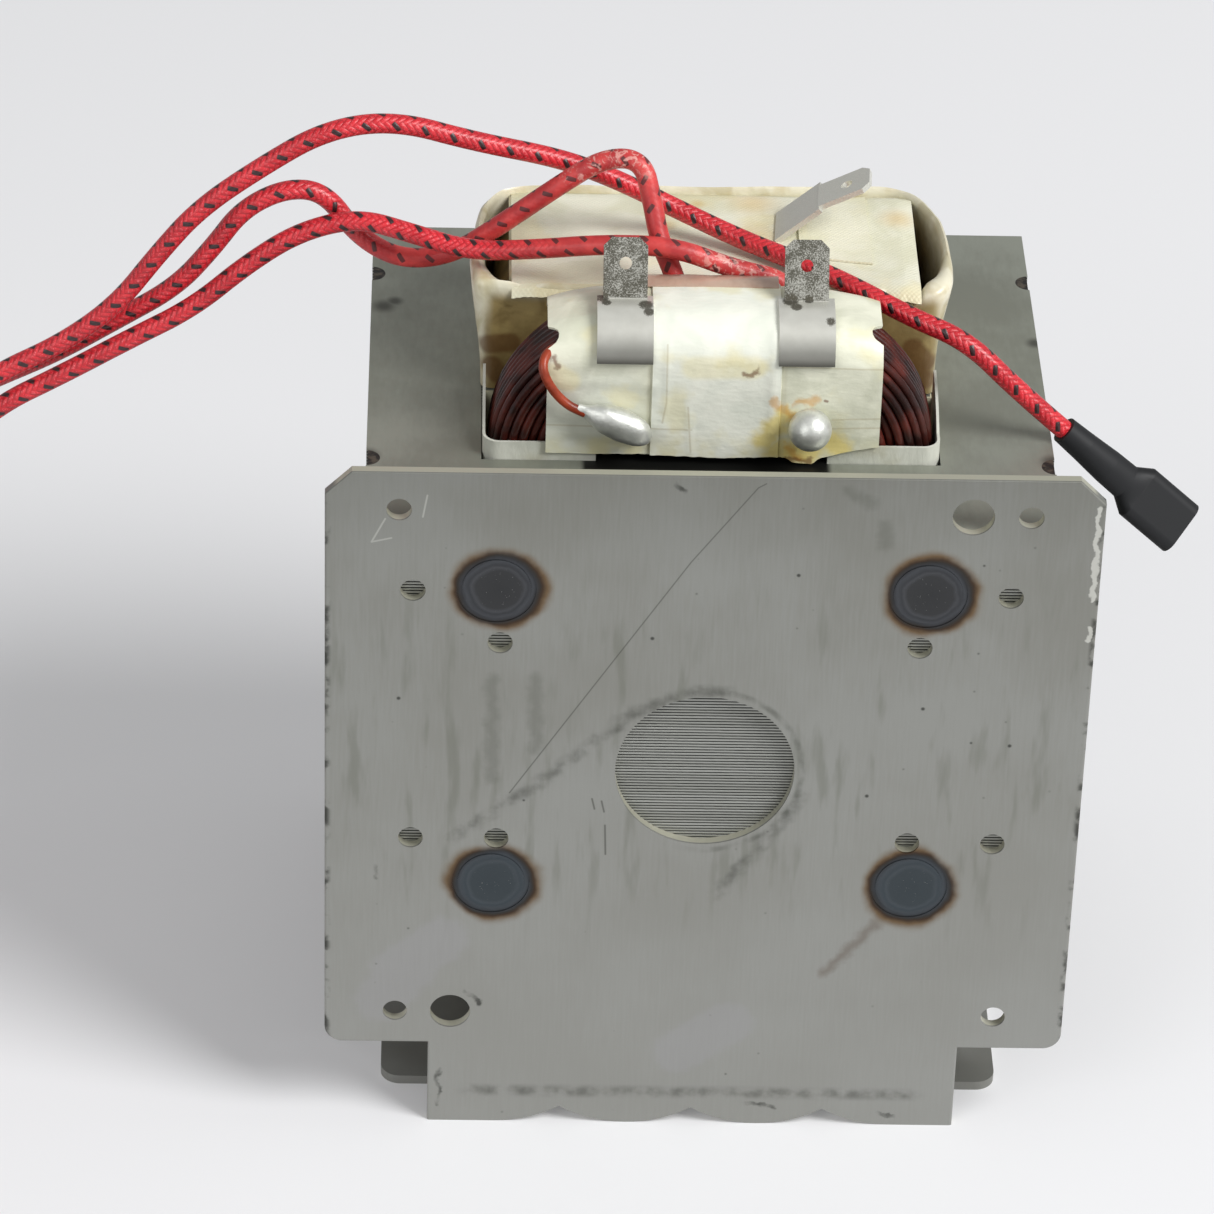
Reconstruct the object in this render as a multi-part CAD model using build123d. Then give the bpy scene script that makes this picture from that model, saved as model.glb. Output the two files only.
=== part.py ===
from build123d import *
from math import atan2, cos, pi, radians, sin, tan
import os

os.makedirs("parts", exist_ok=True)

# High voltage transformer: a welded stack of steel laminations that carries a
# primary, a heater and a high voltage winding, with a square mounting plate
# in front and an angled foot behind. Millimetres, Z up, plate in front at -Y.
# Heights are measured from the floor and depths from the front of the plate.
# The finished pieces are moved back by half of the depth as they are written.

# Mounting plate
plate_width = 110.0
plate_height = 115.3
plate_thickness = 1.6
plate_shoulder_height = 14.7
tongue_width = 79.2
plate_top_chamfer = 3.8
plate_corner_radius = 2.7
plate_edge_radius = 0.35
scallop_pitch = 19.8
scallop_rise = 2.9
sight_hole_diameter = 26.0
sight_hole_height = 64.85
screw_hole_diameter = 3.6
screw_side_inset = 10.45
screw_top_inset = 6.15
screw_row_height = 20.65
locating_hole_diameter = 6.0
locating_hole_inset = 8.2
vent_diameter = 3.6
vent_outer_inset = 12.5
vent_inner_inset = 25.0
vent_upper_outer_height = 95.6
vent_upper_inner_height = 86.8
vent_lower_height = 52.4
weld_spot_diameter = 11.35
weld_spot_depth = 0.15
weld_spot_ring = 0.8
weld_spot_spacing = 61.3
weld_spot_upper_height = 96.0
weld_spot_lower_height = 44.65

# Lamination stack
lamination_leg_width = 16.5
stack_height = 72.0
stack_top = 106.3
seam_radius = 2.0
seam_recess = 0.2
rear_seam_depth = 70.0

# Foot behind the plate
foot_thickness = 1.5
foot_width = 93.4
foot_front_depth = 8.7
foot_corner_radius = 3.0
foot_flange_height = 70.0
foot_bend_radius = 1.5

# Primary winding, its liners and its wrap
primary_wire_diameter = 1.35
primary_turns_per_layer = 10
primary_layers = 11
primary_gap = 0.75
primary_face_clearance = 0.3
primary_side_clearance = 0.2
primary_corner_radius = 22.6
primary_top = 128.1
primary_ridge = 0.3
primary_shoulder_radius = 4.7
liner_thickness = 0.4
liner_clearance = 0.12
liner_stand = 2.9
liner_rear_rise = 4.0
liner_corner_radius = 2.5
liner_rise_start = 4.0
liner_rise_radius = 22.0
liner_inner_lap = 3.0
liner_lap_height = 0.6
wrap_width = 47.7
wrap_thickness = 0.5
wrap_clearance = 0.3
wrap_shoulder_radius = 5.5
wrap_drop = 20.3
wrap_front_lap = 0.5
wrap_notch_radius = 1.6
wrap_notch_below_top = 3.7
wrap_rear_lap = 0.2

# Spade terminals
spade_thickness = 0.8
spade_base_width = 8.0
spade_blade_width = 6.3
spade_blade_length = 8.3
spade_blade_lean = 30.0
spade_tip_chamfer = 1.2
spade_hole_diameter = 1.8
spade_hole_to_tip = 3.7
spade_base_top = 25.0
spade_spacing = 25.8
spade_seat = 0.1
high_spade_seat = 0.15
high_spade_x = 10.4
high_spade_depth = 54.6
high_spade_turn = -4.0
high_spade_run = 8.4
high_spade_rise = 42.0
high_spade_blade_rise = 28.0
high_spade_lap = 0.4

# Soldered ends of the primary
solder_ball_diameter = 6.2
solder_ball_x = 13.7
solder_ball_below_top = 14.1
solder_ball_press = 0.4
solder_drop_length = 11.5
solder_drop_diameter = 4.4
solder_drop_x = -14.7
solder_drop_below_top = 14.0
solder_drop_press = 0.5
solder_seat = 0.05
solder_drop_slope = 29.0
wire_end_overhang = 0.3
wire_end_reach = 2.6
wire_end_fall = 1.2
wire_end_spread = 0.5
wire_end_run = 2.2
wire_end_bend_radius = 1.6
wire_end_dip_radius = 2.4

# Heater winding
heater_wire_diameter = 2.9
heater_turns = 3
heater_gap = 0.5
heater_leg_gap = 0.6
heater_corner_radius = 6.0
heater_groove = 0.3

# Magnetic shunts
shunt_depth = 4.6
shunt_paper = 0.2
shunt_clearance = 0.2
shunt_gap = 0.2

# Secondary winding, its wrap and its shell
secondary_top = 122.8
secondary_corner_radius = 9.0
secondary_rim_radius = 2.5
secondary_front_gap = 0.5
secondary_rear_gap = 1.1
secondary_side_gap = 0.4
secondary_leg_gap = 0.8
secondary_wrap_stand = 1.2
secondary_wrap_radius = 1.6
secondary_wrap_width = 59.4
secondary_wrap_thickness = 0.5
secondary_wrap_reach = 0.3
shell_thickness = 0.9
shell_flare = 1.6
shell_height = 17.0
shell_corner_radius = 7.0
shell_base_radius = 3.5
shell_front_depth = 37.0
shell_clearance = 0.3
shell_lap = 1.0

# Heater leads and their push-on receptacles
lead_diameter = 2.9
sleeve_neck_radius = 2.05
sleeve_waist_radius = 2.4
sleeve_width = 8.4
sleeve_thickness = 3.4
sleeve_length = 24.3
sleeve_mouth_length = 9.0
receptacle_width = 7.2
receptacle_height = 2.4
receptacle_wall = 0.4
receptacle_length = 8.4
receptacle_clearance = 0.1

# Route of the looped lead: from the heater winding over to the left, down to
# the floor, round and back over the windings to the right side of the stack
lead_exit_rise = 5.6
looped_lead_exit_x = -4.0
looped_lead_route = [
    (-5.4, 35.4, 126.8),
    (-7.8, 37.9, 131.4),
    (-8.9, 40.6, 136.4),
    (-10.4, 43.0, 141.8),
    (-15.9, 44.0, 141.5),
    (-22.5, 44.4, 136.4),
    (-30.3, 45.6, 129.4),
    (-37.6, 46.6, 123.4),
    (-45.2, 46.2, 122.7),
    (-51.5, 47.2, 126.2),
    (-56.0, 47.8, 132.9),
    (-61.6, 47.2, 133.9),
    (-68.0, 47.0, 130.4),
    (-72.4, 47.0, 123.8),
    (-77.8, 47.0, 117.1),
    (-86.4, 47.2, 111.4),
    (-95.4, 47.5, 105.4),
    (-104.6, 48.2, 100.4),
    (-114.6, 50.0, 94.0),
    (-124.0, 52.5, 83.0),
    (-132.4, 55.5, 66.5),
    (-139.4, 59.0, 47.5),
    (-145.6, 62.5, 29.0),
    (-152.4, 65.5, 12.5),
    (-162.5, 66.5, 1.9),
    (-175.0, 62.5, 1.5),
    (-182.0, 51.5, 1.6),
    (-180.5, 37.0, 1.5),
    (-169.5, 28.0, 2.4),
    (-158.5, 26.5, 13.0),
    (-150.5, 28.0, 30.5),
    (-142.5, 30.5, 49.0),
    (-134.5, 33.5, 67.5),
    (-125.0, 37.0, 84.0),
    (-114.6, 40.5, 97.4),
    (-104.0, 43.0, 104.4),
    (-94.4, 43.6, 109.2),
    (-86.2, 43.6, 116.0),
    (-80.2, 43.9, 124.4),
    (-74.2, 44.3, 131.8),
    (-65.6, 44.9, 138.3),
    (-56.0, 46.0, 144.2),
    (-46.0, 47.4, 145.2),
    (-34.5, 48.6, 141.2),
    (-22.0, 50.2, 137.8),
    (-13.4, 51.4, 133.6),
    (-4.6, 51.8, 128.6),
    (4.4, 48.2, 125.9),
    (13.0, 41.4, 126.0),
    (20.6, 35.8, 125.4),
    (28.4, 30.6, 123.6),
    (36.6, 27.0, 121.8),
    (44.2, 25.6, 114.4),
    (51.2, 25.4, 108.1),
]

# Route of the short lead: from the heater winding to the left and down to the
# floor, where its receptacle lies
short_lead_exit_x = 12.6
short_lead_route = [
    (10.6, 35.0, 126.8),
    (2.8, 34.6, 128.8),
    (-5.8, 34.2, 132.6),
    (-15.8, 35.6, 132.0),
    (-25.6, 38.8, 129.1),
    (-35.2, 41.8, 126.9),
    (-43.6, 43.2, 129.0),
    (-51.2, 44.4, 130.7),
    (-59.6, 44.2, 128.4),
    (-67.2, 44.0, 123.0),
    (-75.2, 44.0, 115.4),
    (-84.6, 43.8, 110.0),
    (-94.4, 43.6, 104.0),
    (-104.4, 43.0, 98.6),
    (-113.8, 40.6, 90.0),
    (-121.8, 36.0, 77.0),
    (-128.4, 30.0, 61.0),
    (-134.2, 23.4, 44.0),
    (-139.8, 16.6, 27.5),
    (-146.2, 10.6, 12.5),
    (-154.8, 6.2, 2.3),
    (-164.2, 3.6, 2.3),
]

# Sizes that follow from the ones above
stack_width = 6 * lamination_leg_width
stack_depth = 5 * lamination_leg_width
stack_bottom = stack_top - stack_height
stack_middle = stack_top - stack_height / 2
leg_half = lamination_leg_width
screw_spacing_x = plate_width - 2 * screw_side_inset
screw_spacing_z = plate_height - screw_top_inset - screw_row_height
window_outer = 2 * lamination_leg_width
joint_depth = plate_thickness + lamination_leg_width
window_rear = joint_depth + 3 * lamination_leg_width
stack_rear = plate_thickness + stack_depth
overall_depth = stack_rear + foot_thickness
liner_front = joint_depth + liner_clearance
primary_front = liner_front + liner_thickness + primary_face_clearance
primary_rear = primary_front + (primary_turns_per_layer + 0.5) * primary_wire_diameter
primary_outer = window_outer - 2 * liner_clearance - liner_thickness - primary_side_clearance
primary_inner = leg_half + primary_gap
heater_front = primary_rear + heater_gap
heater_rear = heater_front + heater_wire_diameter
heater_middle = heater_front + heater_wire_diameter / 2
heater_inner = leg_half + heater_leg_gap
heater_build = heater_turns * heater_wire_diameter
heater_top = stack_top + heater_leg_gap + heater_build
shunt_front = heater_rear + shunt_gap
shunt_rear = shunt_front + shunt_depth
secondary_front = shunt_rear + secondary_front_gap
secondary_rear = window_rear - shell_clearance - shell_thickness - secondary_rear_gap
secondary_outer = window_outer - shell_clearance - shell_thickness - secondary_side_gap
secondary_inner = leg_half + secondary_leg_gap
secondary_wrap_top = secondary_top + secondary_wrap_reach + secondary_wrap_thickness
shell_outer = window_outer - shell_clearance
shell_rear = window_rear - shell_clearance
wrap_offset = wrap_clearance + wrap_thickness
wrap_front = joint_depth - wrap_front_lap
wrap_lower_edge = primary_top - wrap_drop
wrap_notch_height = primary_top - wrap_notch_below_top
solder_ball_height = primary_top - solder_ball_below_top
solder_drop_height = primary_top - solder_drop_below_top

cord_radii = {}


def block(x0, x1, y0, y1, z0, z1):
    """A box between two corners."""
    box = Box(x1 - x0, y1 - y0, z1 - z0)
    return Pos((x0 + x1) / 2, (y0 + y1) / 2, (z0 + z1) / 2) * box


def rod(x, z, diameter, y0, y1):
    """A round bar along the depth."""
    bar = Cylinder(diameter / 2, y1 - y0)
    return Pos(x, (y0 + y1) / 2, z) * Rot(X=90) * bar


def loop_profile(half_width, half_height, radius):
    """A rounded rectangle seen from the front, centred on the stack."""
    return RectangleRounded(2 * half_width, 2 * half_height, radius)


def prism(profile, y0, y1):
    """A front-view profile carried from one depth to another."""
    return extrude(Plane((0, y0, stack_middle), (1, 0, 0), (0, -1, 0)) * profile, -(y1 - y0))


def coil_ring(inner, outer, outer_half_height, radius, y0, y1, inner_radius=0.4):
    """A winding round the centre leg."""
    inner_half_height = stack_height / 2 + inner - leg_half
    outside = prism(loop_profile(outer, outer_half_height, radius), y0, y1)
    inside = prism(loop_profile(inner, inner_half_height, inner_radius), y0 - 1, y1 + 1)
    return outside - inside


def save(name, solid):
    """Moves a finished piece so that the part is centred, and writes it."""
    placed = Pos(0, -overall_depth / 2, 0) * solid
    export_step(placed, f"parts/{name}.step")


# Mounting plate
def scalloped_outline():
    """The plate seen from the front, with its tongue and scalloped foot."""
    half = plate_width / 2
    tongue = tongue_width / 2
    radius = (scallop_rise**2 + (scallop_pitch / 2) ** 2) / (2 * scallop_rise)
    outer_dip = 1.5 * scallop_pitch
    mid_angle = 0.5 * atan2(scallop_pitch / 2, radius - scallop_rise)
    mid_x = radius * sin(mid_angle)
    mid_z = radius * (1 - cos(mid_angle))
    with BuildSketch(Plane.XZ) as outline:
        with BuildLine():
            Polyline(
                (outer_dip, 0),
                (tongue, 0),
                (tongue, plate_shoulder_height),
                (half, plate_shoulder_height),
                (half, plate_height - plate_top_chamfer),
                (half - plate_top_chamfer, plate_height),
                (-half + plate_top_chamfer, plate_height),
                (-half, plate_height - plate_top_chamfer),
                (-half, plate_shoulder_height),
                (-tongue, plate_shoulder_height),
                (-tongue, 0),
                (-outer_dip, 0),
            )
            ThreePointArc(
                (-outer_dip, 0), (-outer_dip + mid_x, mid_z), (-scallop_pitch, scallop_rise)
            )
            ThreePointArc(
                (-scallop_pitch, scallop_rise), (-scallop_pitch / 2, 0), (0, scallop_rise)
            )
            ThreePointArc((0, scallop_rise), (scallop_pitch / 2, 0), (scallop_pitch, scallop_rise))
            ThreePointArc(
                (scallop_pitch, scallop_rise), (outer_dip - mid_x, mid_z), (outer_dip, 0)
            )
        make_face()
    return outline.sketch


def base_plate():
    plate = extrude(scalloped_outline(), -plate_thickness)
    shoulders = plate.edges().filter_by(Axis.Y).filter_by(
        lambda e: abs(e.center().X) > plate_width / 2 - 0.01 and e.center().Z < screw_row_height
    )
    plate = fillet(shoulders, plate_corner_radius)
    front = plate.faces().sort_by(Axis.Y)[0]
    rim = front.outer_wire().edges().filter_by(lambda e: e.center().Z > scallop_rise + 1)
    plate = fillet(rim, plate_edge_radius)
    through = (-1, plate_thickness + 1)
    plate -= rod(0, sight_hole_height, sight_hole_diameter, *through)
    for side in (-1, 1):
        for z in (screw_row_height, screw_row_height + screw_spacing_z):
            plate -= rod(side * screw_spacing_x / 2, z, screw_hole_diameter, *through)
        outer = side * (plate_width / 2 - vent_outer_inset)
        inner = side * (plate_width / 2 - vent_inner_inset)
        plate -= rod(outer, vent_upper_outer_height, vent_diameter, *through)
        plate -= rod(inner, vent_upper_inner_height, vent_diameter, *through)
        plate -= rod(outer, vent_lower_height, vent_diameter, *through)
        plate -= rod(inner, vent_lower_height, vent_diameter, *through)
        for z in (weld_spot_lower_height, weld_spot_upper_height):
            x = side * weld_spot_spacing / 2
            dish = rod(x, z, weld_spot_diameter, -1, weld_spot_depth)
            dish -= rod(x, z, weld_spot_diameter - 2 * weld_spot_ring, -2, weld_spot_depth + 1)
            plate -= dish
    locating_x = screw_spacing_x / 2 - locating_hole_inset
    plate -= rod(
        locating_x, screw_row_height + screw_spacing_z, locating_hole_diameter, *through
    )
    plate -= rod(-locating_x, screw_row_height, locating_hole_diameter, *through)
    return plate


# Lamination stack
def seam_groove(side, depth):
    """The half-round groove down a side of the stack."""
    groove = Cylinder(seam_radius, stack_height + 2)
    return Pos(side * stack_width / 2, depth, stack_middle) * groove


def bar_core():
    bar = block(
        -stack_width / 2, stack_width / 2, plate_thickness, joint_depth, stack_bottom, stack_top
    )
    for side in (-1, 1):
        bar -= seam_groove(side, joint_depth)
    return bar


def e_core():
    core = block(
        -stack_width / 2, stack_width / 2, joint_depth, stack_rear, stack_bottom, stack_top
    )
    for side in (-1, 1):
        inside, outside = sorted((side * leg_half, side * window_outer))
        core -= block(
            inside, outside, joint_depth - 1, window_rear, stack_bottom - 1, stack_top + 1
        )
        core -= seam_groove(side, joint_depth)
        core -= seam_groove(side, rear_seam_depth)
    return core


def weld_seam(side, depth):
    """A weld bead that fills its groove, a little below the stack's side."""
    bead = Cylinder(seam_radius, stack_height)
    bead = Pos(side * stack_width / 2, depth, stack_middle) * bead
    face = side * (stack_width / 2 - seam_recess)
    x0, x1 = sorted((face, side * stack_width))
    return bead - block(x0, x1, 0, overall_depth, stack_bottom - 1, stack_top + 1)


# Foot behind the plate
def foot_bracket():
    """A sheet that runs under the windings and up the back of the stack."""
    half = foot_width / 2
    bend = foot_bend_radius
    outer = bend + foot_thickness
    with BuildSketch(Plane.YZ.offset(-half)) as section:
        with BuildLine():
            Polyline(
                (foot_front_depth, foot_thickness),
                (foot_front_depth, 0),
                (overall_depth - outer, 0),
            )
            RadiusArc((overall_depth - outer, 0), (overall_depth, outer), -outer)
            Polyline(
                (overall_depth, outer),
                (overall_depth, foot_flange_height),
                (stack_rear, foot_flange_height),
                (stack_rear, outer),
            )
            RadiusArc((stack_rear, outer), (stack_rear - bend, foot_thickness), bend)
            Line((stack_rear - bend, foot_thickness), (foot_front_depth, foot_thickness))
        make_face()
    foot = extrude(section.sketch, foot_width)
    front = foot.edges().filter_by(Axis.Z).sort_by(Axis.Y)[:2]
    foot = fillet(front, foot_corner_radius)
    top = foot.edges().filter_by(Axis.Y).sort_by(Axis.Z)[-2:]
    foot = fillet(top, foot_corner_radius)
    for side in (-1, 1):
        x = side * weld_spot_spacing / 2
        z = weld_spot_lower_height
        outside = overall_depth + 1
        dish = rod(x, z, weld_spot_diameter, overall_depth - weld_spot_depth, outside)
        dish -= rod(x, z, weld_spot_diameter - 2 * weld_spot_ring, stack_rear, outside + 1)
        foot -= dish
    return foot


# Primary winding
def primary_winding():
    """Wire turns as ridges: rings on the faces, bands round the outside."""
    top = primary_top - stack_middle
    coil = coil_ring(
        primary_inner, primary_outer, top, primary_corner_radius, primary_front, primary_rear
    )
    rims = coil.edges().filter_by(
        lambda e: abs(e.center().Z - stack_middle) < 0.01 and abs(e.center().X) > primary_outer - 0.01
    )
    coil = fillet(rims, primary_shoulder_radius)
    step = (primary_outer - primary_inner) / primary_layers
    rise = (top - stack_height / 2 - primary_gap) / primary_layers
    groove = primary_ridge
    for layer in range(1, primary_layers):
        out = layer * step
        up = layer * rise
        x = primary_inner + out
        z = stack_height / 2 + primary_gap + up
        corner = max(0.8, primary_corner_radius * (layer / primary_layers) ** 1.5)
        ring = loop_profile(x + groove / 2, z + groove / 2, corner)
        ring -= loop_profile(x - groove / 2, z - groove / 2, corner - groove / 2)
        coil -= prism(ring, primary_front - 1, primary_front + groove)
    band = loop_profile(primary_outer + 2, top + 2, primary_corner_radius + 2)
    band -= loop_profile(primary_outer - groove, top - groove, primary_corner_radius - groove)
    for turn in range(1, primary_turns_per_layer):
        y = primary_front + (turn + 0.25) * primary_wire_diameter
        coil -= prism(band, y - groove / 2, y + groove / 2)
    return coil


def primary_liner(side):
    """A folded paper trough between the winding and one window."""
    inner = leg_half + liner_clearance
    outer = window_outer - liner_clearance
    rear = primary_rear + liner_clearance
    low = stack_bottom - liner_stand
    high = stack_top + liner_stand
    trough = block(inner, outer, liner_front, rear, low, high + liner_rear_rise)
    corner = trough.edges().filter_by(Axis.Z).filter_by(
        lambda e: e.center().X > outer - 0.01 and e.center().Y < liner_front + 0.01
    )
    trough = fillet(corner, liner_corner_radius)
    hollow = block(
        inner + liner_thickness,
        outer - liner_thickness,
        liner_front + liner_thickness,
        rear + 1,
        low - 1,
        high + liner_rear_rise + 1,
    )
    corner = hollow.edges().filter_by(Axis.Z).filter_by(
        lambda e: e.center().X > inner + 5 and e.center().Y < liner_front + 1
    )
    trough -= fillet(corner, liner_corner_radius - liner_thickness)
    slope_start = liner_front + liner_rise_start
    with BuildSketch(Plane.YZ) as above:
        with BuildLine():
            Polyline(
                (liner_front - 1, high + liner_rear_rise + 1),
                (liner_front - 1, high),
                (slope_start, high),
            )
            RadiusArc((slope_start, high), (rear + 1, high + liner_rear_rise), liner_rise_radius)
            Polyline(
                (rear + 1, high + liner_rear_rise),
                (rear + 1, high + liner_rear_rise + 1),
                (liner_front - 1, high + liner_rear_rise + 1),
            )
        make_face()
    trough -= extrude(above.sketch, window_outer + 1)
    lap_end = inner + liner_inner_lap
    above_lap = stack_top + liner_lap_height
    below_lap = stack_bottom - liner_lap_height
    for low_cut, high_cut in ((above_lap, above_lap + stack_height), (low - 1, below_lap)):
        start = liner_front + liner_thickness
        trough -= block(inner - 1, lap_end, start, rear + 1, low_cut, high_cut)
    if side < 0:
        trough = mirror(trough, Plane.YZ)
    return trough


def wrapped_form(offset, shoulder):
    """The outside of the primary, grown by an offset, with round shoulders."""
    top = primary_top - stack_middle + offset
    half = primary_outer + offset
    front = wrap_front + wrap_offset - offset
    rear = primary_rear + offset
    form = prism(loop_profile(half, top, primary_corner_radius + offset), front, rear)
    rims = form.edges().filter_by(
        lambda e: abs(e.center().Y - front) < 0.01 or abs(e.center().Y - rear) < 0.01
    )
    return fillet(rims, shoulder)


def primary_wrap():
    """A strip of paper over the top of the primary, notched for its wire."""
    outside = wrapped_form(wrap_offset, wrap_shoulder_radius)
    inside = wrapped_form(wrap_clearance, wrap_shoulder_radius - wrap_thickness)
    half = wrap_width / 2
    strip = block(-half, half, 0, primary_rear + wrap_rear_lap, wrap_lower_edge, primary_top + 5)
    wrap = (outside - inside) & strip
    for side in (-1, 1):
        wrap -= rod(side * half, wrap_notch_height, 2 * wrap_notch_radius, 0, primary_front + 3)
    return wrap


# Spade terminals
def spade_blade(length):
    """A flat blade along X with a chamfered tip and a round hole."""
    lying = (Align.MIN, Align.CENTER, Align.MIN)
    blade = Box(length, spade_blade_width, spade_thickness, align=lying)
    tip = blade.edges().filter_by(Axis.Z).sort_by(Axis.X)[-2:]
    blade = chamfer(tip, spade_tip_chamfer)
    hole = Cylinder(spade_hole_diameter / 2, 4 * spade_thickness)
    return blade - Pos(length - spade_hole_to_tip, 0, 0) * hole


def primary_terminal(side):
    """A strip bent over the wrap's shoulder, with its blade standing up."""
    shoulder = wrap_shoulder_radius + spade_seat
    front = wrap_front - spade_seat
    top = primary_top + wrap_offset + spade_seat
    thick = spade_thickness
    centre_y = front + shoulder
    centre_z = top - shoulder
    with BuildSketch(Plane.YZ.offset(-spade_base_width / 2)) as section:
        with BuildLine():
            RadiusArc((front, centre_z), (centre_y, top), shoulder)
            Polyline((centre_y, top), (spade_base_top, top), (spade_base_top, top + thick))
            Line((spade_base_top, top + thick), (centre_y, top + thick))
            RadiusArc(
                (centre_y, top + thick), (front - thick, centre_z), -(shoulder + thick)
            )
            Line((front - thick, centre_z), (front, centre_z))
        make_face()
    strip = extrude(section.sketch, spade_base_width)
    blade = spade_blade(spade_blade_length + thick)
    blade = Rot(Y=-(90 - spade_blade_lean)) * blade
    blade = Rot(Z=90) * blade
    blade = Pos(0, spade_base_top - thick / 2, top + spade_seat) * blade
    trim = block(-spade_base_width, spade_base_width, 0, overall_depth, 0, top)
    terminal = strip + (blade - trim)
    return Pos(side * spade_spacing / 2, 0, 0) * terminal


def high_voltage_terminal():
    """A strip that rises from the secondary's wrap, with a narrower blade."""
    lying = (Align.MIN, Align.CENTER, Align.MIN)
    foot = Box(high_spade_run, spade_base_width, spade_thickness, align=lying)
    rise = Rot(Y=-high_spade_rise) * foot
    reach = high_spade_run * cos(radians(high_spade_rise))
    lift = high_spade_run * sin(radians(high_spade_rise))
    blade = Rot(Y=-high_spade_blade_rise) * Pos(-high_spade_lap, 0, 0) * spade_blade(spade_blade_length)
    terminal = rise + Pos(reach, 0, lift) * blade
    height = secondary_wrap_top + high_spade_seat
    return Pos(high_spade_x, high_spade_depth, height) * Rot(Z=high_spade_turn) * terminal


# Soldered ends of the primary
def in_front_of_wrap(solid):
    """The part of a solid that stands clear of the wrap's front."""
    half = plate_width / 2
    return solid - block(-half, half, wrap_front - solder_seat, overall_depth, 0, primary_top)


def solder_ball():
    """A ball of solder that sits on the front of the wrap."""
    radius = solder_ball_diameter / 2
    depth = wrap_front - radius + solder_ball_press
    ball = Pos(solder_ball_x, depth, solder_ball_height) * Sphere(radius)
    return in_front_of_wrap(ball)


def solder_drop():
    """A long drop of solder that lies slantwise on the front of the wrap."""
    half = solder_drop_length / 2
    radius = solder_drop_diameter / 2
    with BuildSketch() as section:
        with BuildLine():
            Spline(
                (half, 0),
                (0.35 * half, radius),
                (-half, 0.34 * radius),
                tangents=((0, 1), (-1, -0.25)),
            )
            Line((-half, 0.34 * radius), (-half, 0))
            Line((-half, 0), (half, 0))
        make_face()
    drop = revolve(section.sketch, Axis.X, 360)
    drop = Rot(Y=solder_drop_slope) * drop
    depth = wrap_front - radius + solder_drop_press
    drop = Pos(solder_drop_x, depth, solder_drop_height) * drop
    return in_front_of_wrap(drop)


def primary_wire_end():
    """The wire that leaves through the wrap's notch and runs to the drop."""
    angle = radians(solder_drop_slope)
    half = solder_drop_length / 2
    radius = primary_wire_diameter / 2
    y = wrap_front - solder_drop_diameter / 2 + solder_drop_press
    end = Vector(solder_drop_x - half * cos(angle), y, solder_drop_height + half * sin(angle))
    start = Vector(
        -wrap_width / 2 - wire_end_overhang,
        primary_front - primary_wire_diameter / 2,
        wrap_notch_height,
    )
    path = FilletPolyline(
        start,
        start + Vector(-wire_end_spread, -wire_end_reach, -wire_end_fall),
        end + Vector(-wire_end_run * cos(angle), 0, wire_end_run * sin(angle)),
        end,
        radius=[wire_end_bend_radius, wire_end_dip_radius],
    )
    return tube(path, radius)


def tube(path, radius):
    """A round solid along a path of runs and arcs."""
    section = Plane(path @ 0, z_dir=path % 0) * Circle(radius)
    return sweep(section, path)


# Heater winding
def heater_winding():
    outer = heater_inner + heater_build
    inner_height = stack_height / 2 + heater_leg_gap
    groove = heater_groove / 2
    ring = coil_ring(
        heater_inner, outer, inner_height + heater_build, heater_corner_radius,
        heater_front, heater_rear,
    )
    for turn in range(1, heater_turns):
        grow = turn * heater_wire_diameter
        corner = heater_corner_radius / 2 + turn
        line = loop_profile(heater_inner + grow + groove, inner_height + grow + groove, corner)
        line -= loop_profile(
            heater_inner + grow - groove, inner_height + grow - groove, corner - heater_groove
        )
        ring -= prism(line, heater_front - 1, heater_front + heater_groove)
        ring -= prism(line, heater_rear - heater_groove, heater_rear + 1)
    return ring


# Magnetic shunts
def shunt(side, grow):
    """A pack of laminations that fills the window between two windings."""
    gap = shunt_clearance + shunt_paper - grow
    inner, outer = sorted((side * (leg_half + gap), side * (window_outer - gap)))
    return block(
        inner, outer, shunt_front + shunt_paper - grow, shunt_rear - shunt_paper + grow,
        stack_bottom, stack_top,
    )


def shunt_sleeve(side):
    return shunt(side, shunt_paper) - shunt(side, 0)


# Secondary winding
def secondary_winding():
    top = secondary_top - stack_middle
    coil = coil_ring(
        secondary_inner, secondary_outer, top, secondary_corner_radius,
        secondary_front, secondary_rear,
    )
    rims = coil.edges().filter_by(
        lambda e: abs(e.center().Z - stack_middle) < 0.01 and abs(e.center().X) > secondary_inner + 1
    )
    return fillet(rims, secondary_rim_radius)


def secondary_wrap():
    """Tape folded over the top of the secondary, open at the bottom."""
    half = secondary_wrap_width / 2
    grow = secondary_wrap_reach + secondary_wrap_thickness
    low = stack_top + secondary_wrap_stand
    inner_radius = secondary_wrap_radius - secondary_wrap_thickness
    high = secondary_top + grow
    front = secondary_front - grow
    rear = secondary_rear + grow
    outside = block(-half, half, front, rear, low, high)
    outside = fillet(outside.edges().filter_by(Axis.X).sort_by(Axis.Z)[-2:], secondary_wrap_radius)
    rear_edges = outside.edges().filter_by(Axis.Z).sort_by(Axis.Y)[-2:]
    outside = fillet(rear_edges, secondary_wrap_radius)
    inside = block(
        -half - 1, half + 1, secondary_front - secondary_wrap_reach,
        secondary_rear + secondary_wrap_reach, low - 1, secondary_top + secondary_wrap_reach,
    )
    inside = fillet(inside.edges().filter_by(Axis.X).sort_by(Axis.Z)[-2:], inner_radius)
    return outside - inside


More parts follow.
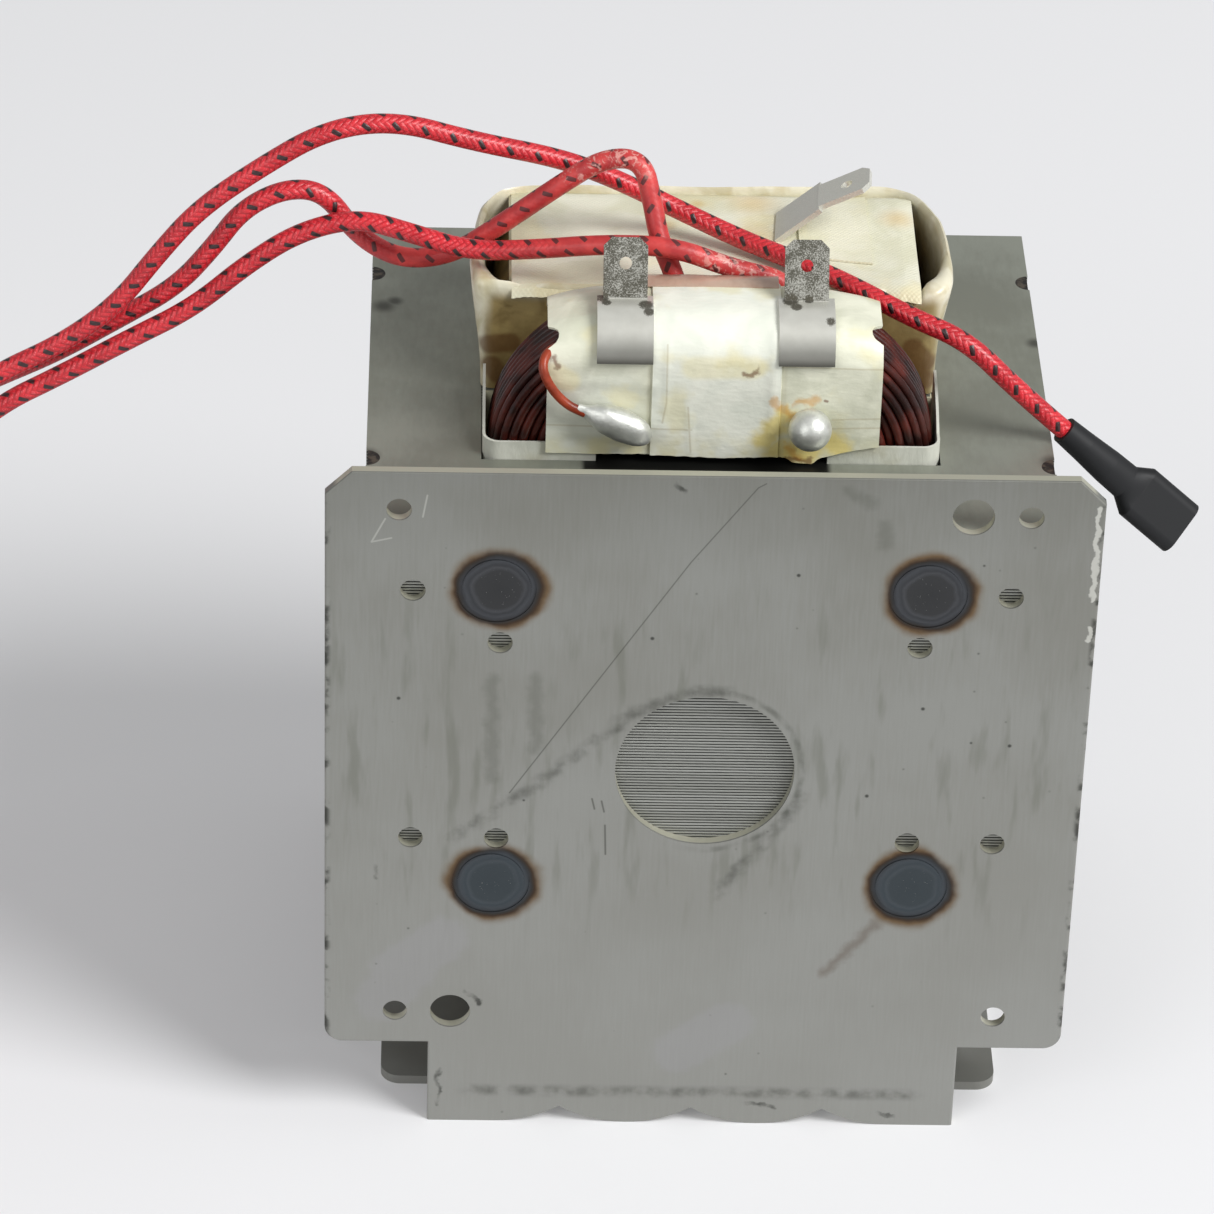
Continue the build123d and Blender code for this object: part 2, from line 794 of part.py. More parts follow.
def shell_rim(inset, low, high):
    """A rounded box that flares towards its top."""
    front = shell_front_depth + inset
    rear = shell_rear - inset
    middle = (front + rear) / 2
    depth = rear - front
    lower = Plane((0, middle, low)) * RectangleRounded(
        2 * (shell_outer - inset), depth, shell_base_radius - inset
    )
    upper = Plane((0, middle, high)) * RectangleRounded(
        2 * (shell_outer + shell_flare - inset), depth, shell_corner_radius - inset
    )
    return loft([lower, upper])


def secondary_shell():
    """A stiff sheet round the secondary, above, in and below the windows."""
    wall = shell_thickness
    base = stack_top + shell_clearance
    top = base + shell_height
    rim = shell_rim(0, base, top) - shell_rim(wall, base - 0.01, top + 0.01)
    shell = rim + mirror(rim, Plane.XY.offset(stack_middle))
    floor = stack_bottom - shell_clearance
    for side in (-1, 1):
        x0, x1 = sorted((side * (shell_outer - wall), side * shell_outer))
        shell += block(
            x0, x1, secondary_front, shell_rear - shell_base_radius, floor - shell_lap, base + shell_lap
        )
        x0, x1 = sorted((side * (leg_half + shell_lap), side * shell_outer))
        shell += block(x0, x1, shell_rear - wall, shell_rear, floor - shell_lap, base + shell_lap)
    return shell


# Heater leads
def lead_path(name, route):
    """Straight runs joined by arcs as large as the runs allow."""
    points = [Vector(*point) for point in route]
    radii = []
    for before, corner, after in zip(points, points[1:], points[2:]):
        arriving = corner - before
        leaving = after - corner
        half_turn = radians(arriving.get_angle(leaving)) / 2
        radii.append(0.45 * min(arriving.length, leaving.length) / tan(half_turn))
    cord_radii[name] = radii
    return FilletPolyline(*points, radius=radii)


def lead(name, route):
    path = lead_path(name, route)
    solid = tube(path, lead_diameter / 2)
    expected = pi * (lead_diameter / 2) ** 2 * path.length
    print(
        f"{name}: length {path.length:.1f}, smallest radius {min(cord_radii[name]):.1f}, "
        f"volume {solid.volume:.0f} against {expected:.0f}"
    )
    return solid


def lead_end_plane(route, flat):
    """The plane at a route's end, facing along the lead, with its flat side."""
    last = Vector(*route[-1])
    along = last - Vector(*route[-2])
    return Plane(origin=last, x_dir=Vector(*flat).cross(along), z_dir=along)


def receptacle_sleeve(place):
    """A shrunk sleeve: round at the lead, flat and wide at its mouth."""
    neck = 4.0
    waist = 9.0
    flare = sleeve_length - sleeve_mouth_length
    sections = [
        Circle(sleeve_neck_radius),
        Plane.XY.offset(neck) * Circle(sleeve_neck_radius + 0.2),
        Plane.XY.offset(waist) * Ellipse(sleeve_waist_radius + 0.2, sleeve_waist_radius - 0.2),
        Plane.XY.offset(flare - 2.5) * Ellipse(sleeve_waist_radius + 0.3, 1.9),
        Plane.XY.offset(flare)
        * RectangleRounded(sleeve_width, sleeve_thickness, sleeve_thickness / 2 - 0.1),
    ]
    sleeve = loft(sections[:2], ruled=True)
    sleeve += loft(sections[1:3])
    sleeve += loft(sections[2:4])
    sleeve += loft(sections[3:])
    mouth = extrude(sections[4], sleeve_mouth_length)
    pocket = RectangleRounded(
        receptacle_width + 2 * receptacle_clearance,
        receptacle_height + 2 * receptacle_clearance,
        receptacle_height / 2 - 0.1,
    )
    start = sleeve_length - receptacle_length
    mouth -= extrude(Plane.XY.offset(start) * pocket, receptacle_length + 1)
    return place * (sleeve + mouth)


def receptacle(place):
    """The metal socket: a flat floor with both edges rolled over."""
    outline = RectangleRounded(receptacle_width, receptacle_height, receptacle_height / 2 - 0.2)
    slot = RectangleRounded(
        receptacle_width - 2 * receptacle_wall,
        receptacle_height - 2 * receptacle_wall,
        receptacle_height / 2 - 0.65,
    )
    opening = Pos(0, receptacle_height / 2) * Rectangle(0.38 * receptacle_width, receptacle_height)
    section = outline - slot - opening
    start = sleeve_length - receptacle_length + receptacle_clearance
    return place * extrude(Plane.XY.offset(start) * section, receptacle_length)


save("base_plate", base_plate())
save("core_bar", bar_core())
save("core_e_stack", e_core())
save("foot_bracket", foot_bracket())
save("primary_winding", primary_winding())
save("primary_wrap", primary_wrap())
save("solder_ball", solder_ball())
save("solder_drop", solder_drop())
save("primary_wire_end", primary_wire_end())
save("heater_winding", heater_winding())
save("secondary_winding", secondary_winding())
save("secondary_wrap", secondary_wrap())
save("secondary_shell", secondary_shell())
save("high_voltage_terminal", high_voltage_terminal())

for side, hand in ((-1, "left"), (1, "right")):
    save(f"weld_seam_front_{hand}", weld_seam(side, joint_depth))
    save(f"weld_seam_rear_{hand}", weld_seam(side, rear_seam_depth))
    save(f"primary_liner_{hand}", primary_liner(side))
    save(f"primary_terminal_{hand}", primary_terminal(side))
    save(f"magnetic_shunt_{hand}", shunt(side, 0))
    save(f"shunt_paper_{hand}", shunt_sleeve(side))

for name, exit_x, route, flat in (
    ("looped", looped_lead_exit_x, looped_lead_route, (0.25, -0.85, 0.45)),
    ("short", short_lead_exit_x, short_lead_route, (0, 0, 1)),
):
    exit_point = (exit_x, heater_middle, heater_top)
    above_exit = (exit_x, heater_middle, heater_top + lead_exit_rise)
    route = [exit_point, above_exit] + route
    place = lead_end_plane(route, flat)
    save(f"heater_lead_{name}", lead(name, route))
    save(f"receptacle_sleeve_{name}", receptacle_sleeve(place))
    save(f"receptacle_{name}", receptacle(place))
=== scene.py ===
"""High voltage transformer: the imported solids, dressed as in the photograph."""

import math
import random

import bpy
from mathutils import Matrix, Vector, noise


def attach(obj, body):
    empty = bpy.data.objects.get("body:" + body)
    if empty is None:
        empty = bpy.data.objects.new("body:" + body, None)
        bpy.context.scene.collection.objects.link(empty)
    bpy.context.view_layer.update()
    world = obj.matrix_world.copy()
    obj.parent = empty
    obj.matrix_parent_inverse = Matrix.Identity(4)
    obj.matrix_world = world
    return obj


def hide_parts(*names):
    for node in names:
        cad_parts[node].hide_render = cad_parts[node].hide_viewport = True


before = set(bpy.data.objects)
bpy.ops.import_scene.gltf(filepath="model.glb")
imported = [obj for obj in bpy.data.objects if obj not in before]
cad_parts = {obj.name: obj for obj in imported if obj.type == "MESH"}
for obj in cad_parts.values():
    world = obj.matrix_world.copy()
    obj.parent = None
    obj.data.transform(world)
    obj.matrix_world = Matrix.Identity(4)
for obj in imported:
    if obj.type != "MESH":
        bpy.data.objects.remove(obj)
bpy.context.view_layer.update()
scene = bpy.context.scene
scene.view_settings.view_transform = "Standard"

MM = 0.001
PLATE_FRONT = -42.8
LEAD_RADIUS = 1.45
STACK_TOP = 106.3
STACK_BOTTOM = 34.3
SHEET = 0.5
SIGHT_HOLE_Z = 64.9
WELD_X = 30.7
WELD_Z = (95.9, 44.5)
WELD_RING_RADIUS = 4.3


def at(x, y, z):
    """A point in the plate's own millimetres, y counted back from its front face."""
    return Vector((x, y + PLATE_FRONT, z)) * MM


# Camera, at the photograph's angle

camera = bpy.data.objects.new("camera", bpy.data.cameras.new("camera"))
scene.collection.objects.link(camera)
scene.camera = camera
camera.data.sensor_width = 36
camera.data.lens = 176.58
camera.data.clip_start = 0.05
camera_right = Vector((0.999518, -0.015955, 0.026632))
camera_up = Vector((-0.013313, 0.554678, 0.831958))
camera_back = Vector((-0.028046, -0.831912, 0.554199))
camera_turn = Matrix((camera_right, camera_up, camera_back)).transposed().to_4x4()
camera.matrix_world = Matrix.Translation(at(-38.643, -703.773, 562.033)) @ camera_turn


# Shader values and nodes


class Value:
    """A shader value. Signs between values make the nodes that work the result out."""

    def __init__(self, socket):
        self.socket = socket
        self.is_vector = socket.type == "VECTOR"

    def __add__(self, other):
        return maths("ADD", self, other)

    def __sub__(self, other):
        return maths("SUBTRACT", self, other)

    def __rsub__(self, other):
        return maths("SUBTRACT", other, self)

    def __mul__(self, other):
        return maths("MULTIPLY", self, other)

    def __truediv__(self, other):
        return maths("DIVIDE", self, other)

    def __abs__(self):
        return maths("ABSOLUTE", self)


def fill(socket, value):
    """Links a value to a socket, or sets the socket to a plain one."""
    if isinstance(value, Value):
        socket.id_data.links.new(value.socket, socket)
    else:
        socket.default_value = value


def node(kind, sockets, tree=None, **settings):
    """A shader node, in the tree of the values that go into it."""
    if tree is None:
        tree = next(value.socket.id_data for value in sockets.values() if isinstance(value, Value))
    made = tree.nodes.new(kind)
    for name, value in settings.items():
        setattr(made, name, value)
    for name, value in sockets.items():
        fill(made.inputs[name], value)
    return made


def maths(operation, *values, clamp=False):
    """One step of arithmetic, on vectors where one of the values is a vector."""
    sockets = dict(enumerate(values))
    if any(isinstance(value, tuple) or getattr(value, "is_vector", False) for value in values):
        made = node("ShaderNodeVectorMath", sockets, operation=operation)
        return Value(made.outputs["Value" if operation in ("LENGTH", "DOT_PRODUCT") else "Vector"])
    return Value(node("ShaderNodeMath", sockets, operation=operation, use_clamp=clamp).outputs[0])


def length(vector):
    return maths("LENGTH", vector)


def above(value, limit):
    return maths("GREATER_THAN", value, limit)


def below(value, limit):
    return maths("LESS_THAN", value, limit)


def most(*masks):
    """The strongest of these masks at each place."""
    strongest = masks[0]
    for mask in masks[1:]:
        strongest = maths("MAXIMUM", strongest, mask)
    return strongest


def parts(vector):
    return [Value(part) for part in node("ShaderNodeSeparateXYZ", {0: vector}).outputs]


def joined(x, y, z):
    return Value(node("ShaderNodeCombineXYZ", {0: x, 1: y, 2: z}).outputs[0])


def mix(factor, first, second, way="MIX"):
    """Two colours mixed, blended by the named way."""
    sockets = {0: factor, 6: first, 7: second}
    return Value(node("ShaderNodeMix", sockets, data_type="RGBA", blend_type=way).outputs[2])


def chosen(second_wins, first, second):
    """The first of two numbers, or the second where it wins."""
    return Value(node("ShaderNodeMix", {0: second_wins, 2: first, 3: second}, data_type="FLOAT").outputs[0])


def span(value, low, high, to_low=0.0, to_high=1.0, curve="SMOOTHSTEP"):
    """A value taken from one range to another and held at both ends."""
    sockets = dict(enumerate((value, low, high, to_low, to_high)))
    return Value(node("ShaderNodeMapRange", sockets, interpolation_type=curve).outputs[0])


def grain(place, scale, detail=3.0, stretch=(1, 1, 1), twist=0.0):
    """Noise at so many waves to the millimetre, stretched along the axes."""
    sockets = {"Vector": place * stretch, "Scale": scale, "Detail": detail, "Distortion": twist}
    return Value(node("ShaderNodeTexNoise", sockets).outputs[0])


def strayed(place, scale, reach):
    """A place pushed about in the front view, so that marks on it get uneven edges."""
    across, deep, up = parts(place)
    aside, upwards = [(grain(place + (start, 0, 0), scale, 4.0) - 0.5) * reach for start in (0.0, 57.0)]
    return joined(across + aside, deep, up + upwards)


def colour(red, green, blue):
    """A colour read from a screen, as the shader takes it."""
    linear = [((part / 255 + 0.055) / 1.055) ** 2.4 for part in (red, green, blue)]
    return (*linear, 1.0)


def tones(value, low, high, dark, light):
    """The dark colour where a value is low, the light one where it is high."""
    return mix(span(value, low, high), colour(*dark), colour(*light))


def layered(shown, *layers):
    """A colour with others laid over it, each by its mask, the share that it covers and its tint."""
    for mask, share, tint in layers:
        shown = mix(mask if share == 1 else mask * share, shown, colour(*tint))
    return shown


def group(name, takes, gives):
    """A node group, its inputs as values and its outputs as sockets to fill."""
    tree = bpy.data.node_groups.new(name, "ShaderNodeTree")
    for direction, sockets in (("INPUT", takes), ("OUTPUT", gives)):
        for label, kind in sockets.items():
            tree.interface.new_socket(label, in_out=direction, socket_type="NodeSocket" + kind)
    inputs = {socket.name: Value(socket) for socket in tree.nodes.new("NodeGroupInput").outputs if socket.name}
    return tree, inputs, tree.nodes.new("NodeGroupOutput").inputs


def placed(shared, **sockets):
    """A shared group in a material, with its own values."""
    made = node("ShaderNodeGroup", sockets, node_tree=shared)
    return {output.name: Value(output) for output in made.outputs}


def finish(name, **plain):
    """A material, its shader and the place on the object in millimetres."""
    material = bpy.data.materials.new(name)
    material.use_nodes = True
    tree = material.node_tree
    shader = tree.nodes["Principled BSDF"]
    for socket, value in plain.items():
        shader.inputs[socket.replace("_", " ")].default_value = value
    ground = Value(node("ShaderNodeTexCoord", {}, tree).outputs["Object"])
    place = ground * (1 / MM, 1 / MM, 1 / MM) + (0, -PLATE_FRONT, 0)
    return material, shader, place


def relief(shader, height, depth):
    """Bumps of a height from 0 to 1, so many millimetres deep."""
    bump = node("ShaderNodeBump", {"Height": height, "Distance": depth * MM, "Strength": 1.0})
    fill(shader.inputs["Normal"], Value(bump.outputs[0]))


# Pieces


def paint(name, material):
    """Gives a CAD node its finish through its material slots."""
    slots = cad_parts[name].material_slots
    for slot in slots:
        slot.material = material
    if not slots:
        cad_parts[name].data.materials.append(material)


def piece(name, mesh, material, stands_for=(), smooth_angle=40):
    """A new piece on the transformer, which stands for these nodes."""
    made = bpy.data.objects.new(name, mesh)
    scene.collection.objects.link(made)
    mesh.materials.clear()
    mesh.materials.append(material)
    mesh.polygons.foreach_set("use_smooth", [True] * len(mesh.polygons))
    if smooth_angle:
        mesh.set_sharp_from_angle(angle=math.radians(smooth_angle))
    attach(made, "root")
    if stands_for:
        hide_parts(*stands_for)
    return made


def mesh_of(name, points, faces):
    mesh = bpy.data.meshes.new(name)
    mesh.from_pydata(points, [], faces)
    mesh.update()
    return mesh


def lattice(rows, columns, round_rows=False, round_columns=False, start=0):
    """The faces between points laid out in rows."""
    faces = []
    for row in range(rows if round_rows else rows - 1):
        for column in range(columns if round_columns else columns - 1):
            next_row = (row + 1) % rows
            next_column = (column + 1) % columns
            corners = (row, column), (row, next_column), (next_row, next_column), (next_row, column)
            faces.append([start + r * columns + c for r, c in corners])
    return faces


# Leads, each a mesh tube along its route's curve


def centreline(points):
    """The smooth line of a NURBS curve with these control points."""
    curve = bpy.data.curves.new("route", "CURVE")
    curve.dimensions = "3D"
    curve.resolution_u = 14
    spline = curve.splines.new("NURBS")
    spline.points.add(len(points) - 1)
    for control, point in zip(spline.points, points):
        control.co = (*point, 1)
    spline.order_u = 3
    spline.use_endpoint_u = True
    holder = bpy.data.objects.new("route", curve)
    mesh = bpy.data.meshes.new_from_object(holder)
    line = [vertex.co.copy() for vertex in mesh.vertices]
    bpy.data.objects.remove(holder)
    bpy.data.curves.remove(curve)
    bpy.data.meshes.remove(mesh)
    return line


def frames_along(line):
    """The direction and two cross directions at each point, carried along without twist."""
    tangents = []
    for i in range(len(line)):
        ahead = line[min(i + 1, len(line) - 1)]
        behind = line[max(i - 1, 0)]
        tangents.append((ahead - behind).normalized())
    side = tangents[0].orthogonal().normalized()
    result = []
    for tangent in tangents:
        side = (side - tangent * side.dot(tangent)).normalized()
        result.append((tangent, side, tangent.cross(side)))
    return result


def tube_mesh(name, line, radius, around=20):
    """A tube along a line. Its map holds millimetres along it and turns round it."""
    frames = frames_along(line)
    points = []
    for centre, (tangent, side, cross) in zip(line, frames):
        for step in range(around):
            turn = 2 * math.pi * step / around
            points.append(centre + (side * math.cos(turn) + cross * math.sin(turn)) * radius)
    faces = lattice(len(line), around, round_columns=True)
    faces.append(list(reversed(range(around))))
    faces.append([(len(line) - 1) * around + step for step in range(around)])
    mesh = mesh_of(name, points, faces)
    along = [0.0]
    for before, after in zip(line, line[1:]):
        along.append(along[-1] + (after - before).length / MM)
    layer = mesh.uv_layers.new(name="along_and_round")
    for polygon in mesh.polygons:
        corners = [mesh.loops[i].vertex_index for i in polygon.loop_indices]
        wraps = len({corner % around for corner in corners} & {0, around - 1}) == 2
        for i, corner in zip(polygon.loop_indices, corners):
            step = corner % around
            if wraps and step == 0:
                step = around
            layer.data[i].uv = (along[corner // around], step / around)
    return mesh


looped_route = [
    (-4.0, 35.045, 115.6), (-4.0, 35.045, 121.2), (-5.4, 35.4, 126.8), (-7.8, 37.9, 131.4),
    (-8.9, 40.6, 136.4), (-10.4, 43.0, 141.8), (-15.9, 44.0, 141.5), (-22.5, 44.4, 136.4),
    (-30.3, 45.6, 129.4), (-37.6, 46.6, 123.4), (-45.2, 46.2, 122.7), (-51.5, 47.2, 126.2),
    (-56.0, 47.8, 132.9), (-61.6, 47.2, 133.9), (-68.0, 47.0, 130.4), (-72.4, 47.0, 123.8),
    (-77.8, 47.0, 117.1), (-86.4, 47.2, 111.4), (-95.4, 47.5, 105.4), (-104.6, 48.2, 100.4),
    (-114.6, 50.0, 94.0), (-124.0, 52.5, 83.0), (-132.4, 55.5, 66.5), (-139.4, 59.0, 47.5),
    (-145.6, 62.5, 29.0), (-152.4, 65.5, 12.5), (-162.5, 66.5, 1.9), (-175.0, 62.5, 1.5),
    (-182.0, 51.5, 1.6), (-180.5, 37.0, 1.5), (-169.5, 28.0, 2.4), (-158.5, 26.5, 13.0),
    (-150.5, 28.0, 30.5), (-142.5, 30.5, 49.0), (-134.5, 33.5, 67.5), (-125.0, 37.0, 84.0),
    (-114.6, 40.5, 97.4), (-104.0, 43.0, 104.4), (-94.4, 43.6, 109.2), (-86.2, 43.6, 116.0),
    (-80.2, 43.9, 124.4), (-74.2, 44.3, 131.8), (-65.6, 44.9, 138.3), (-56.0, 46.0, 144.2),
    (-46.0, 47.4, 145.2), (-34.5, 48.6, 141.2), (-22.0, 50.2, 137.8), (-13.4, 51.4, 133.6),
    (-4.6, 51.8, 128.6), (4.4, 48.2, 125.9), (13.0, 41.4, 126.0), (20.6, 35.8, 125.4),
    (28.4, 30.6, 123.6), (36.6, 27.0, 121.8), (44.2, 25.6, 114.4), (51.2, 25.4, 108.1),
]
short_route = [
    (12.6, 35.045, 115.6), (12.6, 35.045, 121.2), (10.6, 35.0, 126.8), (2.8, 34.6, 128.8),
    (-5.8, 34.2, 132.6), (-15.8, 35.6, 132.0), (-25.6, 38.8, 129.1), (-35.2, 41.8, 126.9),
    (-43.6, 43.2, 129.0), (-51.2, 44.4, 130.7), (-59.6, 44.2, 128.4), (-67.2, 44.0, 123.0),
    (-75.2, 44.0, 115.4), (-84.6, 43.8, 110.0), (-94.4, 43.6, 104.0), (-104.4, 43.0, 98.6),
    (-113.8, 40.6, 90.0), (-121.8, 36.0, 77.0), (-128.4, 30.0, 61.0), (-134.2, 23.4, 44.0),
    (-139.8, 16.6, 27.5), (-146.2, 10.6, 12.5), (-154.8, 6.2, 2.3), (-164.2, 3.6, 2.3),
]
looped_line = centreline([at(*point) for point in looped_route])
short_line = centreline([at(*point) for point in short_route])


# Shared effects


def stroke_group():
    """A mark along a straight line, full on the line and gone at its width."""
    takes = {"Place": "Vector", "Start": "Vector", "Run": "Vector"}
    takes |= {"Share": "Float", "Width": "Float", "Core": "Float"}
    tree, takes, gives = group("mark_along_a_line", takes, {"Mask": "Float"})
    reach = takes["Place"] - takes["Start"]
    share = maths("MULTIPLY", maths("DOT_PRODUCT", reach, takes["Run"]), takes["Share"], clamp=True)
    scaled = Value(node("ShaderNodeVectorMath", {0: takes["Run"], "Scale": share}, operation="SCALE").outputs[0])
    fill(gives["Mask"], span(length(reach - scaled), takes["Core"], takes["Width"], 1.0, 0.0))
    return tree


def spot_group():
    """A round mark, full at its centre and gone at its radius."""
    takes = {"Place": "Vector", "Centre": "Vector", "Radius": "Float", "Core": "Float"}
    tree, takes, gives = group("round_mark", takes, {"Mask": "Float"})
    fill(gives["Mask"], span(length(takes["Place"] - takes["Centre"]), takes["Core"], takes["Radius"], 1.0, 0.0))
    return tree


def specks_group():
    """Small scattered specks of uneven size."""
    takes = {"Place": "Vector", "Waves": "Float", "Share": "Float", "Size": "Float"}
    tree, takes, gives = group("scattered_specks", takes, {"Mask": "Float"})
    cells = node("ShaderNodeTexVoronoi", {"Vector": takes["Place"], "Scale": takes["Waves"]}).outputs
    number = Value(node("ShaderNodeSeparateColor", {0: Value(cells["Color"])}).outputs[0])
    dot = span(Value(cells["Distance"]), takes["Size"], 0.0, 0.0, 1.0)
    fill(gives["Mask"], below(number, takes["Share"]) * dot)
    return tree


def blotch_group():
    """Soft patches of stain."""
    takes = {"Place": "Vector", "Waves": "Float", "Low": "Float", "High": "Float"}
    tree, takes, gives = group("soft_patches", takes, {"Mask": "Float"})
    cloud = node("ShaderNodeTexNoise", {"Vector": takes["Place"], "Scale": takes["Waves"], "Detail": 4.0})
    fill(gives["Mask"], span(Value(cloud.outputs[0]), takes["Low"], takes["High"]))
    return tree


def lamination_group():
    """The edges of stacked sheets, with the dark gaps between them."""
    tree, takes, gives = group("lamination_edges", {"Place": "Vector"}, {"Edge": "Float", "Tone": "Float"})
    number = parts(takes["Place"])[2] / SHEET
    from_middle = abs(maths("FRACT", number) - 0.5)
    uneven = grain(takes["Place"], 0.7, 3.0, (1, 1, 8))
    tone = node("ShaderNodeTexWhiteNoise", {"W": maths("FLOOR", number)}, noise_dimensions="1D")
    fill(gives["Edge"], span(from_middle + uneven * 0.1, 0.30, 0.46, 1.0, 0.0))
    fill(gives["Tone"], Value(tone.outputs[0]))
    return tree


# The weld spot's colours from its centre out: where, red, green, blue
WELD_HEAT_RADIUS = 8.0
WELD_HEAT = [
    (0.0, 46, 46, 47), (0.40, 50, 50, 51), (0.47, 66, 67, 70), (0.52, 50, 51, 54), (0.60, 64, 66, 70),
    (0.66, 52, 53, 56), (0.72, 46, 42, 38), (0.765, 58, 42, 28), (0.84, 104, 84, 60), (1.0, 136, 132, 122),
]


def weld_spot_group():
    """The heat colours and rings of one resistance weld, seen on the plate."""
    takes = {"Place": "Vector", "Centre": "Vector", "Blue": "Float"}
    tree, takes, gives = group("weld_spot", takes, {"Colour": "Color", "Cover": "Float"})
    place = takes["Place"]
    wander = (grain(place, 0.23, 3.0) - 0.5) * 1.5
    part = (length((place - takes["Centre"]) * (1, 0, 1)) + wander) / WELD_HEAT_RADIUS
    heat = node("ShaderNodeValToRGB", {0: part})
    for number, (where, *tint) in enumerate(WELD_HEAT):
        if number > 1:
            heat.color_ramp.elements.new(where)
        heat.color_ramp.elements[number].position = where
        heat.color_ramp.elements[number].color = colour(*tint)
    warm = Value(heat.outputs[0])
    cool = mix(span(part, 0.76, 0.5, 0.0, 0.75), warm, colour(62, 78, 86))
    shown = mix(takes["Blue"], warm, cool)
    flecks = Value(node("ShaderNodeTexVoronoi", {"Vector": place, "Scale": 2.6}).outputs["Distance"])
    fleck = span(flecks, 0.13, 0.05) * span(part, 0.52, 0.3) * span(grain(place, 0.8, 1.0), 0.48, 0.6)
    fill(gives["Colour"], mix(fleck * 0.75, shown, colour(188, 190, 186)))
    lopsided = (grain(place, 0.12, 2.0) - 0.5) * 0.5
    fill(gives["Cover"], span(part + lopsided, 1.0, 0.76, 0.0, 1.0))
    return tree


def tin_group():
    """Tin plate: bright, with fine dark specks where it is worn and dark chips. Its Shade input paints shade over the
    bright tin.
    """
    takes = {"Place": "Vector", "Worn": "Float", "Chipped": "Float", "Shade": "Float"}
    tree, takes, gives = group("tin_plate", takes, {"Colour": "Color", "Roughness": "Float", "Height": "Float"})
    fine = grain(takes["Place"], 5.2, 2.0)
    cloud = grain(takes["Place"], 0.55, 3.0)
    dark = span(fine + cloud * 0.55, 0.52, 0.88) * takes["Worn"]
    bright = mix(cloud, colour(214, 213, 203), colour(236, 235, 226))
    # Painted shade: the bright tin darkened by the Shade input.
    bright = mix(takes["Shade"], bright, colour(78, 77, 70))
    shown = mix(dark, bright, colour(88, 86, 76))
    ragged = span(takes["Chipped"] + (fine - 0.5) * 2.4, 0.35, 0.75)
    fill(gives["Colour"], mix(ragged * (takes["Chipped"] * 0.9), shown, colour(84, 80, 68)))
    fill(gives["Roughness"], dark * 0.25 + 0.3)
    fill(gives["Height"], fine * takes["Worn"])
    return tree


stroke = stroke_group()
round_mark = spot_group()
specks = specks_group()
patches = blotch_group()
lamination = lamination_group()
weld_spot = weld_spot_group()
tin_plate = tin_group()


def marks(place, lines, width, core=0.0):
    """The mask of many marks, each through a list of points seen from the front."""
    masks = []
    for line in lines:
        for (x, z), (far_x, far_z) in zip(line, line[1:]):
            run = (far_x - x, 0.0, far_z - z)
            share = 1 / (run[0] ** 2 + run[2] ** 2)
            mask = placed(stroke, Place=place, Start=(x, 0, z), Run=run, Share=share, Width=width, Core=core)
            masks.append(mask["Mask"])
    return most(*masks)


def spots(place, rounds):
    """The mask of many round marks, each a centre, a radius and a core."""
    return most(*[
        placed(round_mark, Place=place, Centre=centre, Radius=radius, Core=core)["Mask"]
        for centre, radius, core in rounds
    ])


# Steel


